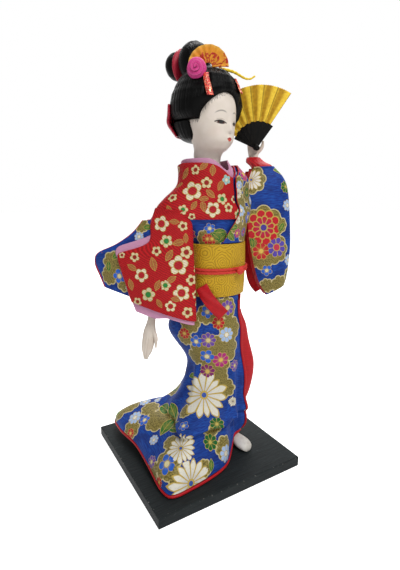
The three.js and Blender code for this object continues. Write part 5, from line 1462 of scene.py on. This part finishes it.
face_rings = head_rings()
face = round_body("painted_head", face_rings, [painted_face()], "head", on_head)
face_frame = np.concatenate([face_rings.reshape(-1, 3), face_rings[[0, -1]].mean(axis=1)])
set_attribute(face, "face", "FLOAT_VECTOR", "POINT", face_frame)
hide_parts("head")

# %% [markdown]
# ## Hair
#
# The hair is combed up from the face in smooth lobes and tied in a bun. Each lobe is a closed body
# with fine grooves along its strands, and rolls under at its edge like a real pad of hair.

# %% Wig
WIG = [(25, 0, 1, 24.9, 22.4), (30, 0, 0.5, 26.1, 23.7), (36, 0, 0, 26.5, 24), (42, 0, 0.3, 25, 23),
       (47, 0, 0.5, 22.5, 21), (52, 0, 0.5, 19.5, 19), (56, 0, 0.5, 16, 15.5), (59.5, 0, 1, 9.5, 9.5),
       (61, 0, 1, 1.5, 1.5)]
HAIR_BOTTOM, FACE_HALF, FACE_ARCH = 25.0, 22.6, 17.0


def ring_at(stations, turn, z, grow):
    """A point of the ellipse that the stations give at a height, grown outwards."""
    _, x, y, a, b = np.moveaxis(at_height(stations, z), -1, 0)
    t = np.radians(turn)
    return np.stack([x + (a + grow) * np.cos(t), y + (b + grow) * np.sin(t), z], axis=-1)


def hairline(turn):
    """The wig's lower edge: an arch over the face, level at the sides and back."""
    side = np.sin(np.radians(apart(turn, 270))) * 24.9
    ahead = np.cos(np.radians(apart(turn, 270))) > 0.2
    arch = np.sqrt(np.clip(1 - (side / FACE_HALF) ** 2, 0, 1))
    return HAIR_BOTTOM + np.where(ahead, FACE_ARCH * arch, 0)


def wig_rings(rows=70, sides=300):
    """Inside along the head down to the edge, then outside up to the crown, rolled under at the edge."""
    turn = np.linspace(0, 360, sides, endpoint=False)[None]
    share = np.linspace(0, 1, rows)[:, None]
    edge = hairline(turn)
    inside_z = between(51.5, edge, share)
    inside = ring_at(HEAD, np.broadcast_to(turn, inside_z.shape), inside_z, 0.15)
    z = between(edge, 60.9, share ** 1.5)
    around = np.broadcast_to(turn, z.shape)
    roll = np.clip((z - edge) / 6.0, 0, 1)
    lift = np.sqrt(1 - (1 - roll) ** 2)
    head = ring_at(HEAD, around, np.minimum(z, 51.5), 0.3)
    head[..., 2] = z
    strand = 0.22 * wander(around, 4, 150, 360, True) + 0.3 * wander(around, 5, 36, 360, True)
    parting = sum(bump_at(apart(around, m), 0, 4) for m in (228, 312)) * soft_step(z, 58, 48)
    grow = (strand - 1.3 * parting) * soft_step(share, 0, 0.15) * soft_step(z, 60.5, 55)
    outside = ring_at(WIG, around, z, grow)
    return np.concatenate([inside, head + (outside - head) * lift[..., None]])


wig = round_body("wig_hair", wig_rings(), [HAIR], "head", on_head)
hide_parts("wig")

# %% Back hair and bun
BACK = [(12.8, 0, 7, 9, 7.5), (14.5, 0, 6.5, 14.5, 12), (19, 0, 6, 18.5, 17), (24.7, 0, 6, 21, 20)]
EAR_LINE = -1.0


def back_rings(rows=40, sides=200):
    """A hanging pad of hair behind the neck, flat in front where the neck is."""
    turn = np.linspace(0, 360, sides, endpoint=False)[None]
    z, x, y, a, b = (v[:, None] for v in np.moveaxis(through(BACK, np.linspace(0, 1, rows)), -1, 0))
    grow = 0.2 * wander(turn, 6, 110, 360, True)
    t = np.radians(turn)
    x, y = x + (a + grow) * np.cos(t), np.maximum(y + (b + grow) * np.sin(t), EAR_LINE)
    return np.stack(np.broadcast_arrays(x, y, z), axis=-1)


back_hair = round_body("back_lobe", back_rings(), [HAIR], "head", on_head)
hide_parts("back_hair")


def lobe_rings(half, middle, seed, rows=90, sides=120):
    """A lobe of hair: an ellipsoid with its poles at the sides, grooved along strands over the top."""
    rise = np.linspace(-np.pi / 2 + 0.03, np.pi / 2 - 0.03, rows)[:, None]
    turn = np.linspace(0, 2 * np.pi, sides, endpoint=False)[None]
    share = np.sin(rise) * 0.5 + 0.5
    groove = 1 + 0.012 * wander(share, seed, 60) + 0.03 * wander(share, seed + 1, 14)
    x = half[0] * np.sin(rise) + 0 * turn
    y = half[1] * np.cos(rise) * np.cos(turn) * groove
    z = half[2] * np.cos(rise) * np.sin(turn) * groove
    return np.stack([x, y, z], axis=-1) + np.asarray(middle)


LOBES = [("bun_front_lobe", "bun_front", (12, 10.4, 13.4), (0, 12.5, 66.5), 11),
         ("bun_back_lobe", "bun_back", (10, 7.9, 9.4), (0, 30, 67.5), 21)]
for name, node, half, middle, seed in LOBES:
    lobe = round_body(name, lobe_rings(half, middle, seed), [BUN_HAIR], "head", on_head)
    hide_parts(node)

roll_rings = lobe_rings((11, 3.2, 12), (0, 23.5, 65.5), 31)
ribbon = round_body("bun_ribbon_roll", roll_rings, [RIBBON_RED], "head", on_head)
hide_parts("bun_ribbon")

# %% [markdown]
# ## Ribbons and ornaments
#
# Glittering red ribbons tie the hair at the nape and hang beside the face. A small fan-shaped card,
# a ribbon rose and a gold pin sit over the forehead.

# %% Ribbons
NAPE = [(16.5, 0, 6.3, 17, 15.2), (20.5, 0, 6, 19.8, 18.4), (25, 0, 4.5, 23.8, 22),
        (30, 0, 0.5, 26.3, 24), (36, 0, 0, 26.5, 24)]


def nape_point(across, along, offset):
    """A wide ribbon round the back of the hair, from below the wig's edge up over it."""
    z, x, y, a, b = np.moveaxis(through(NAPE, along), -1, 0)
    t = np.radians(between(62, 150, across))
    grow = offset + 0.4 * np.sin(across * 40 + along * 3) * np.sin(np.pi * along)
    return np.stack(np.broadcast_arrays(x + (a + grow) * np.cos(t), y + (b + grow) * np.sin(t), z), axis=-1)


ribbon_across, ribbon_along = np.linspace(0, 1, 80)[None], np.linspace(0, 1, 50)[:, None]
nape = panel("nape_band", nape_point(ribbon_across, ribbon_along, 1.9),
             nape_point(ribbon_across, ribbon_along, 0.6), [RIBBON_RED], body="head", place=on_head)
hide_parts("nape_ribbon")


TAIL_WIDTH, WIG_HALF = 4.4, 26.5


def tail_point(turns, bottom, across, along, offset):
    """A short ribbon end lying on the wig, cupped across its width."""
    z = between(52, bottom, along) + 0 * across
    turn = between(*turns, along) + np.degrees((across - 0.5) * TAIL_WIDTH / WIG_HALF)
    return ring_at(WIG, turn, z, offset + 0.4 * np.sin(np.pi * across))


for side, turns, low in (("right", (223, 231), 37.5), ("left", (297, 297), 43)):
    across, along = np.linspace(0, 1, 14)[None], np.linspace(0, 1, 50)[:, None]
    tail = panel(f"{side}_tail", tail_point(turns, low, across, along, 1.3),
                 tail_point(turns, low, across, along, 0.5), [GLITTER], body="head", place=on_head)
    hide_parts(f"{side}_ribbon_tail")

# %% Card
CARD_AT, CARD_TURN = np.array([-7.5, -8.0, 57.0]), math.radians(-45)
CARD_RADIUS, CARD_PLEATS = 13.4, 9


def on_card(points):
    """The card's own plane, x across, y up and z towards the viewer, set on the head."""
    x, y, z = np.moveaxis(points, -1, 0)
    return on_head(turned(np.stack([x, -z, y], axis=-1), CARD_TURN) + CARD_AT)


def card_point(across, along, offset):
    """A half disc of card with shallow pleats that radiate from its foot."""
    turn = np.pi * (1 - across)
    reach = between(2.5, CARD_RADIUS, along)
    z = offset + 0.25 * np.cos(across * 2 * np.pi * CARD_PLEATS) * along
    return np.stack(np.broadcast_arrays(reach * np.cos(turn), 1 + reach * np.sin(turn), z), axis=-1)


def card_paint():
    """Orange gold, with red branches along the foot and the right: creases of a stretched noise."""
    finish, start, shader = new_finish("card_paint", Specular_IOR_Level=0.3)
    u, v, _ = cloth_place(start).parts()
    place = start.node("CombineXYZ", inputs={"X": u * 0.34, "Y": v * 0.2})
    bend = noise(place, 1.0, 4.0)
    low = v.rise(8.5, 4.5) | u.rise(17.0, 24.0)
    branch = (abs(bend - 0.5) < 0.04) * (low > 0.4)
    gold = noise(place, 0.6, 2.0).rise(0.3, 0.7).shows(dye("e29c28"), dye("c87a1c"))
    gold = v.rise(8.5, 12.0).shows(dye("e0b04a"), gold)
    colour = branch.shows(dye("b22c16"), gold)
    feed(shader, Base_Color=colour, Roughness=0.5 + 0.2 * bend, Metallic=0.15 * (1.0 - branch),
         Height=(bend, 0.0002))
    return finish


card_across, card_along = np.linspace(0, 1, 140)[None], np.linspace(0, 1, 40)[:, None]
card = panel("card", card_point(card_across, card_along, -0.05), card_point(card_across, card_along, -0.8),
             [card_paint()], body="head", place=on_card)
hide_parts("ornament_card")

# %% Rose
ROSE_AT, ROSE_TURN = np.array([-18.2, -7.8, 54.6]), math.radians(-50)


def on_rose(points):
    """The rose's own frame, z along its stalk towards the viewer, set on the head."""
    x, y, z = np.moveaxis(points, -1, 0)
    return on_head(turned(np.stack([x, -z, y], axis=-1), ROSE_TURN) + ROSE_AT)


ROSE_HALF, ROSE_DEPTH, ROSE_LAPS = 6.2, 5.0, 3.0


def rose_grid(rows=120, sides=180):
    """A dome of wound ribbon, and how far each point lies across its turn of the spiral.

    The lap is the fraction of (laps * share of the radius + share of a full turn); the ribbon rises
    with it and drops to the next turn.
    """
    rise = np.linspace(-np.pi / 2 + 0.03, np.pi / 2 - 0.03, rows)[:, None]
    turn = np.linspace(0, 2 * np.pi, sides, endpoint=False)[None]
    wide = np.cos(rise)
    lap = (ROSE_LAPS * wide + turn / (2 * np.pi) + 0.06 * np.sin(3 * turn)) % 1
    grow = 1 + 0.2 * (lap - 0.6) * soft_step(rise, -0.3, 0.2)
    flat = ROSE_HALF * wide * grow
    tall = ROSE_DEPTH * np.sin(rise) * grow
    return np.stack([flat * np.cos(turn), flat * np.sin(turn), tall], axis=-1), lap


def rose_paint():
    """Pink satin, with painted shade in the hollow of each turn and a painted highlight along its raised
    edge.
    """
    finish, start, shader = new_finish("rose_paint", Specular_IOR_Level=0.25, Roughness=0.6)
    lap = attribute(start, "lap")
    threads = noise(object_place(start, (1.0, 1.0, 1.0)), 2.0, 3.0)
    pink = threads.rise(0.3, 0.7).shows(dye("e24e96"), dye("c8367e"))
    # Painted shade: darker pink in the hollow of each turn of the ribbon.
    colour = lap.rise(0.45, 0.0).shows(dye("801a4c"), pink)
    # Painted highlight: paler pink where each turn rises to its edge.
    colour = (lap.rise(0.8, 1.0) * 0.5).shows(dye("f08fbc"), colour)
    feed(shader, Base_Color=colour, Height=(threads, 0.0002))
    return finish


rose_points, rose_lap = rose_grid()
rose = round_body("rose", rose_points, [rose_paint()], "head", on_rose)
set_attribute(rose, "lap", "FLOAT", "POINT", np.append(rose_lap.ravel(), [0.3, 0.3]))
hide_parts("ornament_rose")

# %% Gold pin
PIN = [(1, -9.5, 58.4), (10, -14.4, 57.2), (18.6, -18.4, 53.9), (22, -20, 54.2), (24.4, -21.8, 56)]
pin_path = route(PIN, 80)
pin_size = np.linspace(1.15, 0.55, 80) + 0.08 * np.sin(np.linspace(0, 60, 80))
pin_rings = tube_rings(pin_path, pin_size, pin_size, (0, 0, 1), 14)
pin = round_body("pin", pin_rings, [BRIGHT_GOLD], "head", on_head)
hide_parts("gold_hairpin")

# %% [markdown]
# ## Flowers on each cloth
#
# The large flowers and the gold clouds under them are set one by one where they lie on the real cloth.
# Small ones are strewn between and behind them from a seeded draw, so that every run gives the same
# cloth. A place is a column and a row of the cloth's own surface, followed by a radius.

# %% Kinds of flower
# Each kind: its petals, the petals' colour, the eye's colour and the eye's share of the radius
KINDS = {
    "white": (14, "e8e4d6", "3a58a8", 0.13), "sky": (8, "a9c4ea", "e9e2d0", 0.3),
    "blue": (5, "2a64cc", "ecdfae", 0.3), "magenta": (8, "b02a78", "e8c860", 0.25),
    "plum": (8, "7c2264", "d8b860", 0.25), "purple": (8, "6a48a4", "e0cf90", 0.28),
    "violet": (8, "5848a8", "c03a50", 0.34), "red": (8, "bc222c", "e6c45c", 0.25),
    "peony": (10, "c01f2a", "4a3c96", 0.2), "moss": (8, "125c26", "c9b45c", 0.2),
    "leaf": (0, "0f6a26", "c9b458", 0.0), "twig": (0, "b8683e", "8a6a2a", 0.0),
    "plum_red": (5, "f0e4c4", "b8242c", 0.46), "plum_green": (5, "e2d5aa", "2f8a44", 0.42),
    "plum_small": (5, "e6d6aa", "9a2626", 0.42), "cyan": (5, "9fd0d4", "f0ead8", 0.35),
}
BLUE_FILL = [(5.4, "magenta"), (4.6, "sky"), (5.0, "purple"), (4.8, "red"), (5.0, "blue"), (6.4, "leaf"),
             (4.4, "moss"), (10.0, "white"), (4.0, "violet"), (3.2, "sky")]
RED_FILL = [(5.2, "plum_red"), (4.0, "plum_green"), (2.8, "plum_small"), (4.8, "twig"), (4.0, "twig")]


def planted(surface, places):
    """Flowers of the named kinds at their places, each turned by its own amount."""
    return [bloom(surface, column, row, radius, *KINDS[kind], turn=47.0 * i)
            for i, (column, row, radius, kind) in enumerate(places)]


def cloud(spot, size):
    """A gold cloud: a disc with eight smaller ones round it, so that its outline is scalloped."""
    lobes = [spot["at"] + 0.7 * size * MM * (math.cos(a) * spot["right"] + math.sin(a) * spot["up"])
             for a in np.arange(8) * math.pi / 4]
    return [(spot["at"], 0.78 * size)] + [(lobe, 0.4 * size) for lobe in lobes]


# %% Places on the skirt
SKIRT_FLOWERS = [
    (73.5, 0.51, 19, "white"), (74.5, 0.95, 18, "white"), (71.5, 0.76, 11.5, "white"),
    (53.5, 0.84, 6, "sky"), (56, 0.81, 5, "blue"), (83.5, 0.3, 6.5, "magenta"),
    (74.5, 0.38, 6, "plum"), (76, 0.28, 6, "blue"),
    (71, 0.21, 5, "blue"), (88.5, 0.18, 6, "sky"), (78, 0.2, 6, "purple"), (90.5, 0.05, 6, "purple"),
    (91.5, 0.35, 4.5, "purple"), (64.5, 0.18, 4.5, "red"), (84.5, 0.11, 5, "red"),
    (56, 0.66, 9, "leaf"), (61.5, 0.63, 9.5, "leaf"), (63, 0.75, 9, "leaf"), (66.5, 0.72, 8, "leaf"),
    (70, 0.85, 7.5, "blue"), (69.5, 0.97, 3.5, "red"), (56, 0.95, 4, "red"), (77.5, 0.79, 6, "moss"),
    (79.5, 0.65, 5.5, "moss"), (88, 0.55, 4, "white"), (82.5, 0.88, 6.5, "sky"), (63, 0.85, 4, "sky"),
    (77.5, 0.06, 5, "blue"), (66, 0.93, 4.5, "purple"), (78, 0.9, 4.5, "leaf"),
    (63.5, 0.44, 4.5, "leaf"), (70.5, 0.63, 4, "blue"),
]
SKIRT_CLOUDS = [
    (86.5, 0.24, 12), (79.5, 0.33, 10.5), (91.5, 0.15, 9), (90, 0.05, 8), (77, 0.07, 7),
    (73, 0.24, 7.5), (58.5, 0.75, 10.5), (52.5, 0.75, 7.5), (70, 0.85, 10.5), (67, 0.97, 7),
    (78, 0.7, 7.5), (72.5, 0.9, 6), (82, 0.84, 8), (84.5, 0.48, 7.5), (68, 0.58, 5.5),
    (55.5, 0.91, 7.5), (76.5, 0.9, 6), (68, 0.78, 5.5), (67.5, 0.12, 7.5), (68.5, 0.29, 6.5),
    (83, 0.05, 8), (64.5, 0.2, 6), (64, 0.68, 8), (49, 0.82, 8), (80, 0.42, 8),
]

# %% Places on the upper garments and sleeves
LAPEL_FLOWERS = [
    (3, 0.75, 4.5, "white"), (3, 0.5, 4.5, "sky"), (1, 0.13, 5, "leaf"), (6.5, 0.1, 5, "leaf"),
    (1, 0.23, 5, "leaf"), (15.5, 0.15, 3.5, "magenta"), (2, 0.35, 3.5, "white"),
    (6.5, 0.85, 3.5, "sky"),
]
LAPEL_CLOUDS = [(2, 0.59, 8.5), (2, 0.3, 7), (2, 0.87, 6.5)]
BODICE_FLOWERS = [
    (213, 0.51, 4, "blue"), (206, 0.43, 4, "red"), (217, 0.43, 4, "red"), (226, 0.45, 5, "leaf"),
    (233, 0.48, 5.5, "leaf"), (240, 0.44, 5, "leaf"),
]
BODICE_CLOUDS = [(205, 0.43, 7), (218, 0.43, 7)]
ROBE_FLOWERS = [
    (54.5, 0.5, 7, "plum_red"), (68.5, 0.94, 4, "twig"), (77, 0.88, 4, "twig"), (73.5, 0.46, 4, "twig"),
    (66.5, 0.37, 3.5, "twig"), (54.5, 0.25, 3.5, "twig"), (62.5, 0.24, 4, "twig"),
    (91, 0.83, 3.5, "cyan"), (71, 0.18, 5.5, "plum_red"), (45, 0.81, 4.5, "twig"),
    (85, 0.39, 4, "plum_green"), (40.5, 0.39, 3.5, "plum_small"), (88.5, 0.24, 3.5, "plum_small"),
    (47.5, 0.18, 3.5, "plum_green"), (41, 0.18, 3.5, "twig"), (58.5, 0.87, 3.5, "plum_small"),
    (37.5, 0.61, 3.5, "twig"), (84, 0.64, 4, "twig"), (69.5, 0.65, 4, "plum_small"),
]
RED_FLOWERS = [
    (81.5, 0.1, 5.5, "plum_red"), (74, 0.22, 4.5, "plum_green"), (37.5, 0.4, 7, "plum_red"),
    (27.5, 0.3, 4.5, "plum_small"), (36, 0.6, 6, "plum_red"), (76, 0.66, 5, "plum_green"),
    (79, 0.51, 5, "plum_red"), (16.5, 0.5, 4, "plum_small"), (50.5, 0.23, 4.5, "twig"),
    (51, 0.33, 4.5, "twig"), (65, 0.41, 5, "twig"), (87, 0.46, 4, "twig"),
    (71.5, 0.3, 3.5, "plum_small"), (39, 0.12, 3.5, "plum_small"), (55.5, 0.56, 4, "plum_green"),
    (27.5, 0.73, 4, "plum_small"), (52, 0.71, 4, "plum_red"), (64, 0.57, 4, "twig"),
    (83, 0.37, 3.5, "plum_small"), (57, 0.09, 3.5, "twig"), (48, 0.51, 4, "twig"),
    (34.5, 0.2, 3.5, "twig"), (65, 0.71, 3.5, "twig"), (44.5, 0.65, 3.5, "twig"),
]
INNER_FLOWERS = [
    (84, 0.12, 4, "leaf"), (81, 0.37, 5, "leaf"), (81, 0.49, 4.5, "leaf"), (63, 0.53, 4, "leaf"),
    (71, 0.56, 5.5, "blue"), (65.5, 0.65, 3.5, "white"), (85.5, 0.19, 3.5, "sky"),
]
INNER_CLOUDS = [(78, 0.45, 8), (68, 0.61, 6.5), (82, 0.58, 6.5), (95, 0.11, 5)]
LEFT_FLOWERS = [
    (94.5, 0.16, 9.5, "white"), (75, 0.44, 14, "peony"), (83, 0.57, 7, "red"), (54.5, 0.55, 8, "violet"),
    (77.5, 0.7, 4.5, "blue"), (42, 0.44, 4.5, "leaf"), (96, 0.52, 4.5, "leaf"),
]
LEFT_CLOUDS = [
    (75, 0.44, 15.5), (59, 0.56, 11), (84, 0.6, 10), (46, 0.43, 6), (50, 0.9, 7), (86, 0.85, 5.5),
    (94.5, 0.16, 10.5),
]

# %% Sew them on
# Each row: the piece, its surface, set flowers, set clouds, the fill, and the filled columns and rows
FLOWERED = [
    (skirt, lambda c, r: skirt_cloth(c / 100, r), SKIRT_FLOWERS, SKIRT_CLOUDS, BLUE_FILL,
     (2, 50), (0.04, 0.97)),
    (bodice, lambda c, r: garment_point(c, (BODICE_HEM, r), 1.3), BODICE_FLOWERS, BODICE_CLOUDS, BLUE_FILL,
     (-70, 170), (0.02, 0.98)),
    (lapel, lambda c, r: lapel_point(c / 100, r, 4.2), LAPEL_FLOWERS, LAPEL_CLOUDS, BLUE_FILL,
     (22, 100), (0.02, 0.98)),
    (robe, lambda c, r: robe_point(c / 100, r, 2.6), ROBE_FLOWERS, [], RED_FILL,
     (0, 100), (0.02, 0.98)),
    (sleeves["red_sleeve"], lambda c, r: sleeve_cloth(RIGHT_SLEEVE, c / 100, r, RED_EDGES, 0),
     RED_FLOWERS, [], RED_FILL, (-98, 98), (0.01, 0.79)),
    (sleeves["blue_inner_sleeve"],
     lambda c, r: sleeve_cloth(RIGHT_SLEEVE, c / 100, r, INNER_EDGES, INNER_INSET),
     INNER_FLOWERS, INNER_CLOUDS, BLUE_FILL, (-98, 40), (0.09, 0.73)),
    (sleeves["blue_sleeve"], lambda c, r: sleeve_cloth(LEFT_SLEEVE, c / 100, r, BLUE_EDGES, 0),
     LEFT_FLOWERS, LEFT_CLOUDS, BLUE_FILL, (-98, 30), (0.02, 0.98)),
]
FIRST_SEED, TRIES = 30, 400
for seed, (piece, surface, flowers, clouds, fill, across, down) in enumerate(FLOWERED, FIRST_SEED):
    kinds = [(radius, *KINDS[kind]) for radius, kind in fill]
    strewn = strew(surface, planted(surface, flowers), kinds, across, down, TRIES, seed)
    spots = [bloom(surface, *place, *KINDS["leaf"]) for place in clouds]
    if fill is BLUE_FILL:
        spots += [{**b, "radius": 1.1 * b["radius"] + 3.0} for b in strewn[len(flowers)::2]]
    embroider(piece, strewn, [disc for spot in spots for disc in cloud(spot, spot["radius"])])
    print(piece.name, len(flowers), "set and", len(strewn) - len(flowers), "strewn flowers")

# %% [markdown]

# %% [markdown]
# ## Floor, light and camera
#
# The floor and the world look white to the camera and in gloss, and the floor keeps the board's
# shadow. A soft lamp stands high before the doll, and others fill from beside the camera, from above
# and from behind. The camera stands where the photograph's camera stood, worked out from the board's
# corners.

# %% Floor
def seen_rays(start):
    """1 for rays from the camera, and for those that a gloss or a clear piece sends on; else 0."""
    rays = start.tree.nodes.new("ShaderNodeLightPath")
    eye, gloss, clear = (Wire(start.tree, rays.outputs[f"Is {kind} Ray"])
                         for kind in ("Camera", "Glossy", "Transmission"))
    return eye | gloss | clear


def white_floor():
    """A pale floor that adds white where the camera or a gloss sees it, so that it reads as white."""
    material = bpy.data.materials.new("floor_white")
    material.use_nodes = True
    tree = material.node_tree
    shader = tree.nodes["Principled BSDF"]
    shader.inputs["Base Color"].default_value = (0.8, 0.8, 0.8, 1)
    shader.inputs["Roughness"].default_value = 0.9
    start = Wire(tree)
    seen = seen_rays(start)
    glow = start.node("Emission", inputs={"Color": (1, 1, 1, 1), "Strength": 1.0})
    plain = Wire(tree, shader.outputs[0])
    lit = start.node("AddShader", inputs={0: plain, 1: glow})
    both = start.node("MixShader", inputs={0: seen, 1: plain, 2: lit})
    tree.links.new(both.socket, tree.nodes["Material Output"].inputs["Surface"])
    return material


FLOOR_HALF = 6.0
floor_mesh = bpy.data.meshes.new("floor")
floor_corners = [(x * FLOOR_HALF, y * FLOOR_HALF, 0) for x, y in ((-1, -1), (1, -1), (1, 1), (-1, 1))]
floor_mesh.from_pydata(floor_corners, [], [(0, 1, 2, 3)])
floor_mesh.materials.append(white_floor())
floor = bpy.data.objects.new("floor", floor_mesh)
bpy.context.scene.collection.objects.link(floor)

# %% World and lamps
world = bpy.data.worlds.new("studio")
bpy.context.scene.world = world
world.use_nodes = True
WORLD_LIGHT = 0.15
background = world.node_tree.nodes["Background"]
background.inputs["Color"].default_value = (1, 1, 1, 1)
strength = seen_rays(Wire(world.node_tree)) * (1 - WORLD_LIGHT) + WORLD_LIGHT
world.node_tree.links.new(strength.socket, background.inputs["Strength"])


def facing(sight):
    """The turns that point a lamp or camera along a line of sight: pitch from straight down, then yaw."""
    pitch = math.atan2(math.hypot(sight[0], sight[1]), -sight[2])
    return pitch, 0, math.atan2(-sight[0], sight[1])


LAMPS = [("key", (0.0, -0.8, 1.05), 0.4, 8.5), ("fill", (-0.6, -0.75, 0.3), 0.8, 1.1),
         ("top", (0.3, 0.2, 1.2), 0.4, 7.0), ("back", (0.5, 0.9, 0.6), 0.9, 4.0)]
AIM = np.array([0.0, 0.0, 0.14])
for name, place, size, power in LAMPS:
    lamp = bpy.data.lights.new(name, "AREA")
    lamp.size, lamp.energy = size, power
    holder = bpy.data.objects.new(name, lamp)
    holder.location = place
    holder.rotation_euler = facing(AIM - np.array(place))
    bpy.context.scene.collection.objects.link(holder)
print("lamps", len(LAMPS))

# %% Camera
EYE = np.array([-0.1399, -0.2438, 0.1974])
LOOK = np.array([0.00448, -0.00268, 0.13595])
camera = bpy.data.cameras.new("camera")
camera.lens, camera.sensor_width, camera.sensor_fit = 24.74, 36.0, "AUTO"
camera.clip_start = 0.01
viewer = bpy.data.objects.new("camera", camera)
viewer.location = EYE
viewer.rotation_euler = facing(LOOK - EYE)
bpy.context.scene.collection.objects.link(viewer)
bpy.context.scene.camera = viewer
bpy.context.scene.view_settings.view_transform = "Standard"
